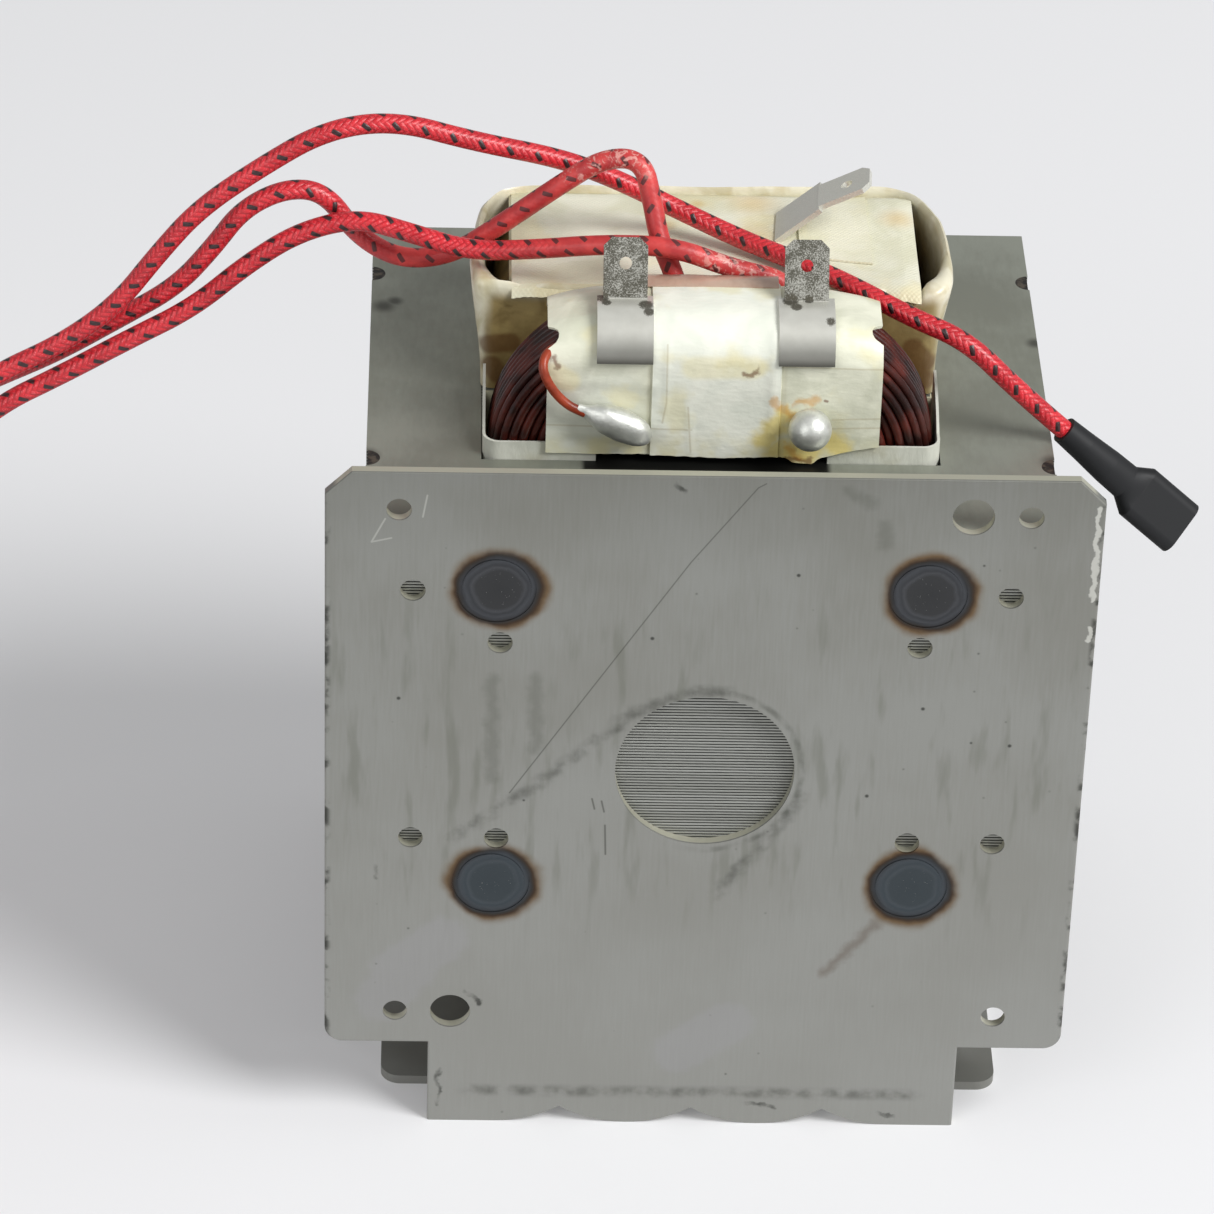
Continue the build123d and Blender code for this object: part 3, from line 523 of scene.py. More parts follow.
def plate_steel():
    """The plate's bare sheet, with its dirt, scratches, chips and heat colours, a painted floor reflection low down,
    painted shade at the top and a painted highlight on the walls of its holes.
    """
    material, shader, place = finish("plate_steel", Metallic=0.55, Roughness=0.44)
    x, y, z = parts(place)
    rolled = grain(place, 0.9, 3.0, (2.6, 1, 0.16))
    cloud = grain(place, 0.035, 3.0)
    patchy = span(grain(place, 0.34, 4.0), 0.3, 0.72)
    wavy = strayed(place, 0.45, 2.4)
    lilac_lines = [[(-44.6, 28.1), (-37.5, 34.0)], [(-2.2, 13.5), (5.0, 18.9)], [(-46.8, 22.5), (-42.5, 28.0)]]
    lilac = marks(wavy, lilac_lines, 4.6, 3.0)
    streaks = span(grain(place, 0.34, 3.0, (1, 1, 0.16)), 0.53, 0.7) * (span(z, 104, 84) * span(z, 30, 52))
    smudges = marks(wavy, [
        [(18.5, 113.2), (21.7, 111.3)], [(24.0, 107.5), (24.2, 104.1)],
        [(-31.0, 80.6), (-30.8, 63.1)], [(-24.8, 80.7), (-24.5, 68.5)],
    ], 1.7)
    rubbed = marks(wavy, [
        [(-36.1, 52.7), (-30.2, 57.5), (-21.9, 64.3), (-10.7, 74.9), (-1.7, 79.0), (3.0, 78.6)],
        [(2.3, 42.7), (8.4, 51.0), (14.1, 60.4)],
    ], 1.7)
    along_tongue = span(abs(z - 5.8), 1.6, 0.1) * span(abs(x), 36, 32)
    burn = marks(wavy, [[(27.6, 39.4), (19.0, 28.6)]], 1.5)
    from_sight_hole = length((place - (0.0, 0, SIGHT_HOLE_Z)) * (1, 0, 1))
    halo = span(abs(from_sight_hole - 14.1), 0.75, 0.1) * span(x, -6, 6)
    pit_places = [(-44.4, 77.0), (-8.3, 87.9), (23.7, 60.8), (31.0, 76.3), (43.9, 70.0), (12.1, 99.0)]
    pits = spots(place, [((pit_x, 0, pit_z), 0.42, 0.12) for pit_x, pit_z in pit_places])
    small_pits = placed(specks, Place=place, Waves=0.42, Share=0.16, Size=0.14)["Mask"] * span(cloud, 0.42, 0.56)
    edges = span(abs(x), 53.9, 54.8) * span(patchy, 0.4, 0.9) * below(z, 112.0)
    chips = marks(wavy, [
        [(-47.7, 47.2), (-47.4, 45.0)], [(-34.2, 24.4), (-31.8, 22.0)], [(-5.4, 113.9), (-4.6, 112.9)],
        [(8.2, 4.0), (12.4, 2.9)], [(28.1, 2.1), (30.6, 1.8)], [(-38.0, 9.5), (-37.9, 3.3)],
    ], 0.5, 0.1)
    dark = most(pits, small_pits, edges, chips * patchy)
    cut = marks(place, [[(6.9, 114.3), (5.8, 113.6), (-3.2, 101.0), (-28.2, 60.6)]], 0.16, 0.03)
    ticks = marks(place, [
        [(-16.2, 59.7), (-15.8, 57.9)], [(-14.8, 59.3), (-14.4, 57.4)], [(-14.2, 55.0), (-14.0, 49.8)],
    ], 0.22, 0.04)
    bare = marks(wavy, [[(54.0, 110.9), (54.1, 95.4)], [(53.9, 90.6), (54.1, 88.3)]], 0.5, 0.25)
    outline = marks(place, [
        [(-46.5, 107.6), (-48.4, 103.7), (-45.6, 104.4)], [(-40.6, 111.6), (-41.2, 108.0)],
    ], 0.2, 0.05)
    shown = layered(
        tones(rolled * 0.25 + cloud * 0.75, 0.35, 0.65, (127, 127, 120), (139, 140, 135)),
        # Painted light: lighter towards the bottom as a painted reflection of the floor, and darker towards the top as
        # painted shade.
        (span(z, 118, 14, 0.0, 1.0, "LINEAR"), 0.5, (164, 164, 160)),
        (span(z, 98, 118, 0.0, 0.35, "LINEAR"), 1, (102, 103, 96)),
        (lilac, 0.2, (164, 162, 170)),
        (streaks, 0.42, (104, 106, 94)),
        (smudges, 0.36, (88, 90, 80)),
        (most(rubbed, along_tongue) * patchy, 0.62, (66, 67, 60)),
        (burn, 0.45, (92, 74, 58)),
        (halo * patchy, 0.6, (78, 80, 72)),
        (dark, 0.82, (44, 45, 40)),
        (most(cut * 0.6, ticks * 0.65), 1, (66, 67, 60)),
        (most(bare * 0.75, outline * 0.35), 1, (206, 206, 198)),
    )
    at_top = above(z, 70.0)
    nearest = joined(above(x, 0.0) * 61.4 + -30.35, 0.0, at_top * 51.45 + 44.45)
    weld = placed(weld_spot, Place=place, Centre=nearest, Blue=0.5 - at_top * 0.45)
    shown = mix(weld["Cover"] * below(y, 1.0), shown, weld["Colour"])
    # The walls of the holes and cuts through the plate are painted pale: a painted highlight.
    hole_walls = above(y, 0.3) * below(y, 1.58) * span(abs(x), 54, 53)
    shown = layered(shown, (hole_walls, 0.7, (206, 204, 184)))
    height = rolled * 0.12
    aside = abs(x) - WELD_X
    for weld_z in WELD_Z:
        upwards = z - weld_z
        from_ring = abs(maths("SQRT", aside * aside + upwards * upwards) - WELD_RING_RADIUS)
        height = height + span(from_ring, 0.7, 0.0, 0.0, 0.9)
    fill(shader.inputs["Roughness"], grain(place, 3.0, 1.0) * 0.12 + dark * 0.3 + 0.36)
    fill(shader.inputs["Base Color"], shown)
    relief(shader, height, 0.09)
    return material


def foot_steel():
    """The foot: bare sheet like the plate's, without its marks."""
    material, shader, place = finish("foot_steel", Metallic=0.55, Roughness=0.44)
    shown = tones(grain(place, 0.05, 3.0), 0.35, 0.65, (134, 134, 128), (152, 152, 147))
    fill(shader.inputs["Base Color"], shown)
    relief(shader, grain(place, 0.9, 3.0, (2.6, 1, 0.16)) * 0.12, 0.09)
    return material


def lamination_steel():
    """Stacked sheets: their flat face above and below, their edges on every side, and a black strip of varnish and
    painted shade on the stack's top in front of the winding.
    """
    material, shader, place = finish("lamination_steel", Metallic=0.5, Roughness=0.42)
    normal = Value(node("ShaderNodeNewGeometry", {}, material.node_tree).outputs["Normal"])
    level = span(abs(parts(normal)[2]), 0.6, 0.8)
    fine = grain(place, 1.2, 4.0, (1, 0.3, 1))
    across, deep = parts(place)[:2]
    # The black strip on the stack's top in front of the winding is partly varnish and partly painted shade.
    varnish_and_shade = span(abs(across + 0.8), 18.2, 17.2) * span(deep, 8.0, 12.0)
    stain_places = [(-47.6, 60.5, 2.6), (-46.0, 62.0, 1.8), (49.2, 52.5, 2.0), (49.3, 19.5, 2.6), (-49.3, 19.0, 2.4)]
    flat = layered(
        tones(grain(place, 0.05, 4.0) * 0.8 + fine * 0.2, 0.35, 0.65, (136, 138, 127), (154, 157, 146)),
        (varnish_and_shade, 0.97, (10, 10, 10)),
        (spots(place, [((x, y, STACK_TOP), radius, 0.3) for x, y, radius in stain_places]), 0.75, (52, 50, 44)),
    )
    seen = placed(lamination, Place=place)
    steel = mix(seen["Tone"], colour(142, 143, 137), colour(160, 161, 156))
    fill(shader.inputs["Base Color"], mix(level, mix(seen["Edge"], colour(26, 27, 25), steel), flat))
    relief(shader, seen["Edge"] * (1.0 - level) + fine * 0.05, 0.12)
    return material


def weld_bead():
    """A weld's bead: dark, rough and rippled along its run."""
    material, shader, place = finish("weld_bead", Metallic=0.5, Roughness=0.5)
    rough = grain(place, 0.9, 5.0)
    fill(shader.inputs["Base Color"], tones(rough, 0.4, 0.62, (44, 42, 40), (92, 84, 74)))
    relief(shader, maths("FRACT", parts(place)[2] / 1.1) + rough, 0.15)
    return material


def tinned(name, worn, upright=False):
    """Tin plate. On the upright terminals only the blades are specked, and their straps are chipped; painted shade
    darkens the straps towards their bottom and the blades a little.
    """
    material, shader, place = finish(name, Metallic=0.6)
    sockets = {"Place": place, "Worn": worn, "Chipped": 0.0, "Shade": 0.0}
    if upright:
        z = parts(place)[2]
        sockets["Worn"] = span(z, 129.7, 130.1, 0.0, worn)
        # Painted shade: the straps darker towards their bottom and the blades a quarter darker.
        sockets["Shade"] = most(span(z, 128.6, 122.6, 0.0, 1.0), above(z, 129.9) * 0.25)
        chips = [
            (-10.0, 22.6, 129.7, 1.5), (-9.6, 21.2, 129.3, 1.1), (-16.2, 24.2, 129.8, 1.4), (-15.6, 23.0, 129.8, 1.0),
            (10.6, 24.0, 129.8, 1.6), (11.4, 22.6, 129.7, 1.2), (13.2, 24.4, 129.8, 1.1), (16.2, 20.2, 128.6, 1.1),
        ]
        sockets["Chipped"] = spots(place, [(centre, radius, radius * 0.5) for *centre, radius in chips])
    seen = placed(tin_plate, **sockets)
    fill(shader.inputs["Base Color"], seen["Colour"])
    fill(shader.inputs["Roughness"], seen["Roughness"])
    relief(shader, seen["Height"], 0.02)
    return material


def solder():
    """Satin solder, faintly cloudy."""
    material, shader, place = finish("solder", Metallic=0.75, Roughness=0.4)
    cloud = grain(place, 0.45, 4.0)
    fine = grain(place, 3.5, 3.0)
    fill(shader.inputs["Base Color"], tones(cloud, 0.35, 0.65, (206, 208, 202), (228, 229, 223)))
    fill(shader.inputs["Roughness"], fine * 0.16 + 0.34)
    relief(shader, cloud + fine * 0.25, 0.12)
    return material


def enamel(name, dark, light):
    """Enamelled wire, or varnish as smooth."""
    plain = {"Roughness": 0.36, "Coat_Weight": 0.12, "Coat_Roughness": 0.2, "Specular_IOR_Level": 0.3}
    material, shader, place = finish(name, **plain)
    fill(shader.inputs["Base Color"], tones(grain(place, 0.22, 4.0), 0.35, 0.66, dark, light))
    relief(shader, grain(place, 1.4, 3.0), 0.03)
    return material


def paper(name, base, pale, stain, gloss=0.42, coat=0.25):
    """Insulating paper: cloudy, faintly fibrous, stained here and there."""
    material, shader, place = finish(name, Roughness=gloss, Coat_Weight=coat, Coat_Roughness=0.3)
    cloud = grain(place, 0.11, 4.0, twist=0.6)
    fibre = grain(place, 1.6, 5.0, (1, 0.4, 0.4))
    soiled = placed(patches, Place=place, Waves=0.13, Low=0.56, High=0.72)["Mask"]
    shown = layered(tones(cloud, 0.36, 0.62, base, pale), (soiled, 0.6, stain))
    fill(shader.inputs["Base Color"], mix(fibre * 0.16, shown, colour(150, 146, 128), "MULTIPLY"))
    relief(shader, fibre + cloud * 2.0, 0.08)
    return material


# Red braid

BRAID_LAY = 8.6
YARNS_EACH_WAY = 8.0


def braid_group():
    """Eight yarns each way, over two and under two, with two black ones."""
    tree, takes, gives = group("braid", {"Mapped": "Vector"}, {"Height": "Float", "Black": "Float"})
    along, around = parts(takes["Mapped"])[:2]
    turns = along / BRAID_LAY
    first = (around - turns) * YARNS_EACH_WAY
    second = (around + turns) * YARNS_EACH_WAY
    first_number = maths("FLOOR", first)
    both = maths("FLOORED_MODULO", first_number + maths("FLOOR", second), 4.0)
    first_over = below(both, 1.5)
    odd = maths("FLOORED_MODULO", both, 2.0)

    def crown(across, lengthwise):
        arch = maths("SINE", (odd + lengthwise) * (math.pi / 2)) * 0.55 + 0.45
        return across * (1.0 - across) * 4.0 * arch

    first_part = maths("FRACT", first)
    second_part = maths("FRACT", second)
    first_height = crown(first_part, second_part)
    tracer = below(maths("FLOORED_MODULO", first_number, 4.0), 0.5)
    fill(gives["Height"], chosen(first_over, crown(second_part, first_part), first_height))
    fill(gives["Black"], tracer * first_over * span(first_height, 0.12, 0.3))
    return tree


braid = braid_group()


def red_braid(name, dipped_until, scuffs):
    """Varnished fibreglass braid. The coil's varnish fills it near its exit, and bends there are scuffed white. Its
    red has painted shade in the weave's hollows and painted highlights in specks on its crowns.
    """
    material, shader, place = finish(name, Coat_Roughness=0.22)
    mapped = Value(node("ShaderNodeUVMap", {}, material.node_tree, uv_map="along_and_round").outputs[0])
    along = parts(mapped)[0]
    weave = placed(braid, Mapped=mapped)
    dipped = span(along + grain(place, 0.2, 2.0) * 10.0, dipped_until + 12, dipped_until - 6)
    cloud = grain(place, 0.3, 4.0)
    fine = grain(place, 4.5, 3.0)
    # Painted highlights: pale specks on the crowns of the weave.
    painted_glints = span(fine, 0.56, 0.66) * span(weave["Height"], 0.2, 0.75)
    bright = layered(
        tones(cloud, 0.35, 0.65, (188, 16, 32), (212, 34, 46)),
        # Painted shade: darker red in the hollows of the weave.
        (span(weave["Height"], 0.55, 0.1), 0.45, (150, 6, 22)),
        (painted_glints, 0.55, (240, 120, 126)),
    )
    red = mix(dipped, bright, tones(cloud, 0.38, 0.62, (178, 44, 46), (206, 62, 60)))
    black = mix(dipped, colour(20, 12, 14), colour(52, 26, 28))
    shown = mix(weave["Black"] * span(dipped, 0.0, 1.0, 0.97, 0.85), red, black)
    worn = most(*[
        span(abs(along - (start + end) / 2), (end - start) / 2, (end - start) / 5) for start, end in scuffs
    ])
    whitened = worn * span(grain(place, 0.9, 5.0, twist=1.5), 0.5, 0.64)
    fill(shader.inputs["Base Color"], layered(shown, (whitened, 0.7, (226, 168, 158))))
    fill(shader.inputs["Roughness"], span(dipped, 0.0, 1.0, 0.42, 0.5))
    fill(shader.inputs["Coat Weight"], span(dipped, 0.0, 1.0, 0.35, 0.2))
    raised = weave["Height"] * span(dipped, 0.0, 1.0, 1.0, 0.18)
    relief(shader, raised + (fine * 0.2 + whitened * 0.3), 0.13)
    return material


looped_braid = red_braid("red_braid_looped", 78, [(24, 42), (0.5, 3)])
short_braid = red_braid("red_braid_short", 52, [(9, 27)])
looped_tube = tube_mesh("braid_looped", looped_line, LEAD_RADIUS * MM)
looped = piece("heater_lead_braid_looped", looped_tube, looped_braid, ["heater_lead_looped"], 60)
at(-4.0, 35.045, 115.6)
short_tube = tube_mesh("braid_short", short_line, LEAD_RADIUS * MM)
short = piece("heater_lead_braid_short", short_tube, short_braid, ["heater_lead_short"], 60)
at(12.6, 35.045, 115.6)


# Sheets of paper and tape, with creases and uneven edges


def sheet_mesh(name, rows, thickness):
    """A grid of points with a thickness behind its face."""
    last_row, last_column = len(rows) - 1, len(rows[0]) - 1
    front = [point for row in rows for point in row]
    backs = []
    for r, row in enumerate(rows):
        for c, point in enumerate(row):
            along = rows[min(r + 1, last_row)][c] - rows[max(r - 1, 0)][c]
            across = row[min(c + 1, last_column)] - row[max(c - 1, 0)]
            backs.append(point - across.cross(along).normalized() * thickness * MM)
    faces = lattice(len(rows), len(rows[0]))
    total = len(front)
    width = last_column + 1
    rim = list(range(width)) + [r * width + last_column for r in range(1, last_row + 1)]
    rim += [last_row * width + c for c in range(last_column - 1, -1, -1)]
    rim += [r * width for r in range(last_row - 1, 0, -1)]
    faces += [[total + i for i in reversed(face)] for face in faces]
    faces += [[b, a, total + a, total + b] for a, b in zip(rim, rim[1:] + rim[:1])]
    return mesh_of(name, front + backs, faces)


def spread(points, where):
    """The value at a place between listed ones."""
    for (before, low), (after, high) in zip(points, points[1:]):
        if where <= after:
            share = max(0.0, (where - before) / (after - before))
            return low + (high - low) * share
    return points[-1][1]


def swell(x, z, line, width):
    """How near a place is to a crease, from 0 to 1."""
    nearest = 9.0
    for (ax, az), (bx, bz) in zip(line, line[1:]):
        run_x, run_z = bx - ax, bz - az
        share = ((x - ax) * run_x + (z - az) * run_z) / (run_x ** 2 + run_z ** 2)
        share = min(1.0, max(0.0, share))
        nearest = min(nearest, math.hypot(x - ax - run_x * share, z - az - run_z * share))
    return math.exp(-((nearest / width) ** 2))


def steps(low, high, count):
    """Even steps from low to high, with both."""
    return [low + (high - low) * i / count for i in range(count + 1)]


WRAP_HALF = 23.85
WRAP_FRONT = 17.55
WRAP_SHOULDER = 5.5
WRAP_TOP_END = 28.4
WRAP_REAR = 33.5
WRAP_CREST = 128.9
NOTCH_RADIUS = 1.6
BAND_THICKNESS = 0.3
BAND_LEFT, BAND_RIGHT = -8.9, 9.4
wrap_lower_edge = [
    (-23.9, 107.9), (-16.3, 107.8), (-7.7, 107.9), (0.9, 107.6), (8.9, 107.9), (10.6, 107.6),
    (11.6, 106.9), (14.4, 106.6), (15.4, 107.6), (19.5, 108.7), (23.9, 109.6),
]
wrap_creases = [
    ([(-6.9, 126.0), (-6.8, 116.8), (-7.3, 113.5)], 0.4, 0.12),
    ([(-3.7, 116.1), (-3.1, 108.5)], 0.4, 0.1),
    ([(8.4, 127.0), (8.3, 112.0)], 0.7, 0.2),
    ([(-11.0, 112.8), (-3.1, 112.6)], 0.35, 0.06),
    ([(9.4, 123.3), (16.0, 123.0), (23.9, 122.9)], 0.5, 0.12),
    ([(-23.9, 119.6), (-15.0, 119.9), (-9.0, 119.4)], 0.9, 0.14),
    ([(-20.5, 110.0), (-13.0, 109.2)], 0.9, -0.25),
]


def wrap_crest(x):
    """The height of the wrap's top, which follows the winding's round corners."""
    flat_half, corner = 9.56, 23.4
    beyond = max(0.0, abs(x) - flat_half)
    return WRAP_CREST - 0.48 * (corner - math.sqrt(corner ** 2 - beyond ** 2))


def wrap_point(part, share, x):
    """A place on the wrap before it is creased, in millimetres, and its outward direction."""
    crest = wrap_crest(x)
    start = crest - WRAP_SHOULDER
    if part == "front":
        low = spread(wrap_lower_edge, x) + 0.12 * noise.noise(Vector((x * 0.9, 3.1, 0)))
        return (x, WRAP_FRONT, low + (start - low) * share), Vector((0, -1, 0))
    if part == "bend":
        angle = share * math.pi / 2
        out = Vector((0, -math.cos(angle), math.sin(angle)))
        return (x, WRAP_FRONT + WRAP_SHOULDER + out.y * WRAP_SHOULDER, start + out.z * WRAP_SHOULDER), out
    if part == "top":
        top_start = WRAP_FRONT + WRAP_SHOULDER
        return (x, top_start + (WRAP_TOP_END - WRAP_FRONT - WRAP_SHOULDER) * share, crest), Vector((0, 0, 1))
    angle = share * math.asin((WRAP_REAR - WRAP_TOP_END) / WRAP_SHOULDER)
    out = Vector((0, math.sin(angle), math.cos(angle)))
    return (x, WRAP_TOP_END + out.y * WRAP_SHOULDER, start + out.z * WRAP_SHOULDER), out


def wrap_rows():
    """The wrap from its lower edge up the front, over the shoulder and down behind, with its notches."""
    places = [("front", 0.0)]
    for part, count in (("front", 34), ("bend", 14), ("top", 12), ("rear", 8)):
        places += [(part, share) for share in steps(0, 1, count)[1:]]
    band_left, band_right = BAND_LEFT / WRAP_HALF, BAND_RIGHT / WRAP_HALF
    band_edges = [band_left - 0.004, band_left, band_right, band_right + 0.004]
    columns = sorted(steps(-1, 1, 104) + band_edges)
    left_notch, right_notch = 5.4, 6.6
    rows = []
    for part, share in places:
        row = []
        for column in columns:
            notch = 0.0
            if part == "bend":
                run = WRAP_SHOULDER * math.pi / 2 * share
                centre = left_notch if column < 0 else right_notch
                notch = math.sqrt(max(0.0, NOTCH_RADIUS ** 2 - (run - centre) ** 2))
            x = column * WRAP_HALF
            if abs(column) > 0.8:
                x -= math.copysign(notch * (abs(column) - 0.8) / 0.2, column)
            (x, y, z), out = wrap_point(part, share, x)
            lift = 0.16 * noise.noise(Vector((x * 0.12, y * 0.16, z * 0.12)))
            lift += 0.05 * noise.noise(Vector((x * 0.5, y * 0.5, z * 0.5)))
            if BAND_LEFT <= x <= BAND_RIGHT:
                lift += BAND_THICKNESS
            if part in ("front", "bend"):
                lift += sum(swell(x, z, line, width) * height for line, width, height in wrap_creases)
            row.append(at(x, y, z) + out * lift * MM)
        rows.append(row)
    return rows


def film_rows():
    """The brown film that shows behind the band's crest."""
    rows = []
    columns = steps(BAND_LEFT - 0.8, BAND_RIGHT - 0.2, 30)
    for y, z in ((28.6, 129.3), (30.0, 129.45), (31.4, 129.3), (32.6, 128.9), (33.2, 128.3)):
        rows.append([at(x, y, z + 0.1 * noise.noise(Vector((x * 0.4, y, 2)))) for x in columns])
    return rows


TAPE_LEFT, TAPE_RIGHT = -28.9, 30.4
TAPE_TOP = 124
PATCH_TOP = 124.42


def tape_waves(x, y):
    """The soft waves of the tape, which the patch on it follows."""
    return 0.22 * noise.noise(Vector((x * 0.07, y * 0.09, 5.2)))


def tape_rows():
    """Tape over the secondary, frayed in front and folded down behind."""
    profile = [(36.2, 122.7), (36.9, 123.5), (37.8, 123.9)] + [(y, 124.05) for y in steps(39, 63.6, 24)]
    profile += [(64.5, 123.8), (65.2, 123.1), (65.4, 121.8), (65.4, 117.0), (65.4, 112.0)]
    columns = steps(TAPE_LEFT, TAPE_RIGHT, 148)
    fray = random.Random(7)
    edge = [(x, fray.uniform(-0.16, 0.14)) for x in columns]
    rows = []
    for number, (y, z) in enumerate(profile):
        row = []
        for x, frayed in edge:
            ragged = frayed * max(0.0, 1 - number / 2)
            soft = tape_waves(x, y) + 0.04 * noise.noise(Vector((x * 0.6, y * 0.6, 1)))
            soft += 0.5 * math.exp(-(((x + 9.5) / 1.2) ** 2)) * 0.3
            dip = -0.35 * max(0.0, abs(x - 0.7) - 27.5) / 2.2
            row.append(at(x, y + ragged, z + soft + dip))
        rows.append(row)
    return rows


def patch_rows():
    """The short piece of tape laid over it by the slanted terminal."""
    left = [Vector((13.1, 46.2)), Vector((13.4, 62.5))]
    right = [Vector((23.7, 44.6)), Vector((23.5, 63.8))]
    rows = []
    for down in steps(0, 1, 20):
        row = []
        for across in steps(0, 1, 14):
            near, far = [left[i] + (right[i] - left[i]) * across for i in (0, 1)]
            x, y = near + (far - near) * down
            curl = 0.2 * max(0.0, across - 0.8) * (1 - down)
            row.append(at(x, y, PATCH_TOP + tape_waves(x, y) + curl))
        rows.append(row)
    return rows


# Windings


WIRE_RADIUS = 0.675
STACK_MIDDLE = (STACK_TOP + STACK_BOTTOM) / 2
PRIMARY_HALF_WIDTH = 32.16
PRIMARY_HALF_HEIGHT = 57.8
PRIMARY_FRONT = 18.92
PRIMARY_REAR = 33.09
SHOULDER = 4.05
TURNS_ROUND_SHOULDER = 4.68
ROLL_INSET = 2.0
# How far in the turns on both faces lie, sideways and upwards
FACE_LAYERS = [
    (4.05, 4.05), (5.4, 5.42), (6.76, 6.8), (8.1, 11.6), (9.46, 13.0), (10.8, 14.4), (12.15, 15.9), (13.5, 17.4),
]


def turn(depth, layer_x, layer_z, wander=0.0, seed=0.0):
    """One turn round the centre leg, as a closed line seen from the front."""
    half_width = PRIMARY_HALF_WIDTH - WIRE_RADIUS - layer_x
    half_height = PRIMARY_HALF_HEIGHT - WIRE_RADIUS - layer_z
    corner = max(22.0 - (layer_x + layer_z) / 2, 4.0)
    line = []
    for quarter, (side, level) in enumerate(((1, 1), (-1, 1), (-1, -1), (1, -1))):
        for part in steps(0, 1, 15):
            angle = math.pi / 2 * (quarter + part)
            x = side * (half_width - corner) + corner * math.cos(angle)
            z = level * (half_height - corner) + corner * math.sin(angle)
            sway = wander * noise.noise(Vector((x * 0.06, seed, z * 0.06)))
            grow = 1 + wander * 0.006 * noise.noise(Vector((x * 0.05, seed + 9, z * 0.05)))
            line.append(at(x * grow, depth + sway, STACK_MIDDLE + z * grow))
    return line


def turns_mesh(name, lines, around=10):
    """A closed wire along each of these lines."""
    points, faces = [], []
    for line in lines:
        faces += lattice(len(line), around, round_rows=True, round_columns=True, start=len(points))
        for i, centre in enumerate(line):
            run = (line[(i + 1) % len(line)] - line[i - 1]).normalized()
            back = Vector((0, 1, 0))
            out = run.cross(back).normalized()
            for step in range(around):
                angle = 2 * math.pi * step / around
                points.append(centre + (out * math.cos(angle) + back * math.sin(angle)) * WIRE_RADIUS * MM)
    return mesh_of(name, points, faces)


def primary_turns():
    """The turns that show: up both faces, over the round shoulders and along the outside."""
    pitch = 2 * WIRE_RADIUS
    first = PRIMARY_FRONT + WIRE_RADIUS
    last = PRIMARY_REAR - WIRE_RADIUS
    places = []
    for number, inset in enumerate(FACE_LAYERS):
        shift = WIRE_RADIUS * 0.8 if number % 2 else 0.0
        places += [(first + shift, *inset), (last - shift, *inset)]
    for number in range(1, 5):
        angle = math.pi / 2 * number / TURNS_ROUND_SHOULDER
        run = SHOULDER * (1 - math.cos(angle))
        inset = SHOULDER * (1 - math.sin(angle))
        places += [(first + run, inset, inset), (last - run, inset, inset)]
    depth = first + SHOULDER
    while depth < last - SHOULDER + 0.1:
        places.append((depth, 0.0, 0.0))
        depth += pitch
    return [turn(depth, across, up, 0.2, depth * 0.4 + up) for depth, across, up in places]


def roll_mesh(name, front, rear):
    """The body of the winding behind the turns that show."""
    section = [
        (front + 4, 1.0, 1.0), (front, 5.4, 5.4), (front, 13.2, 17.2),
        (rear, 13.2, 17.2), (rear, 5.4, 5.4), (rear - 4, 1.0, 1.0),
    ]
    loops = [turn(*place) for place in section]
    points = [point for loop in loops for point in loop]
    faces = lattice(len(loops), len(loops[0]), round_rows=True, round_columns=True)
    return mesh_of(name, points, faces)


# Resin shell, with its folded rim


shell_foot_line = [
    (-32.7, 37.4), (-32.7, 45.0), (-32.7, 62.0), (-29.6, 66.8), (-20.0, 67.3), (0.0, 67.3), (20.0, 67.3),
    (29.6, 66.8), (32.7, 62.0), (32.7, 45.0), (32.7, 37.4), (20.0, 37.0), (0.0, 37.0), (-20.0, 37.0),
]
shell_rim_line = [
    (-33.6, 37.6), (-34.9, 41.6), (-34.7, 51.5), (-33.3, 59.9), (-30.2, 64.5), (-25.0, 65.9), (-1.3, 66.3),
    (27.1, 67.2), (32.1, 63.9), (34.7, 56.8), (35.4, 45.1), (35.0, 39.8), (32.5, 37.3), (20.0, 37.0), (0.0, 37.0),
    (-20.0, 37.0),
]
shell_lip_line = [
    (-29.6, 38.3), (-31.9, 41.2), (-32.9, 45.8), (-32.8, 55.1), (-31.2, 62.4), (-27.0, 64.9), (-1.0, 65.4),
    (26.8, 66.2), (31.0, 63.0), (33.4, 57.3), (34.0, 48.5), (32.9, 42.6), (30.2, 38.9), (26.4, 38.4), (0.0, 38.2),
    (-20.0, 38.2),
]
shell_front_heights = [
    (-34.5, 123.6), (-29.0, 123.2), (-26.5, 122.5), (-24.0, 123.2), (0.0, 123.3), (24.7, 123.4), (27.1, 121.6),
    (29.3, 120.5), (31.4, 122.6), (35.5, 123.6),
]


def even_loop(corners, count=220):
    """Points spread evenly along a smooth closed line through the corners."""
    dense = []
    for i, here in enumerate(corners):
        before, after, beyond = corners[i - 1], corners[(i + 1) % len(corners)], corners[(i + 2) % len(corners)]
        for part in steps(0, 1, 12)[:-1]:
            point = []
            for axis in (0, 1):
                a, b, c, d = before[axis], here[axis], after[axis], beyond[axis]
                lead, trail = (c - a) / 2 * 0.55, (d - b) / 2 * 0.55
                t2, t3 = part ** 2, part ** 3
                start = (2 * t3 - 3 * t2 + 1) * b + (t3 - 2 * t2 + part) * lead
                point.append(start + (3 * t2 - 2 * t3) * c + (t3 - t2) * trail)
            dense.append(Vector(point))
    lengths = [0.0]
    for before, after in zip(dense, dense[1:] + dense[:1]):
        lengths.append(lengths[-1] + (after - before).length)
    result = []
    place = 0
    for number in range(count):
        wanted = lengths[-1] * number / count
        while lengths[place + 1] < wanted:
            place += 1
        share = (wanted - lengths[place]) / (lengths[place + 1] - lengths[place])
        result.append(dense[place].lerp(dense[(place + 1) % len(dense)], share))
    return result


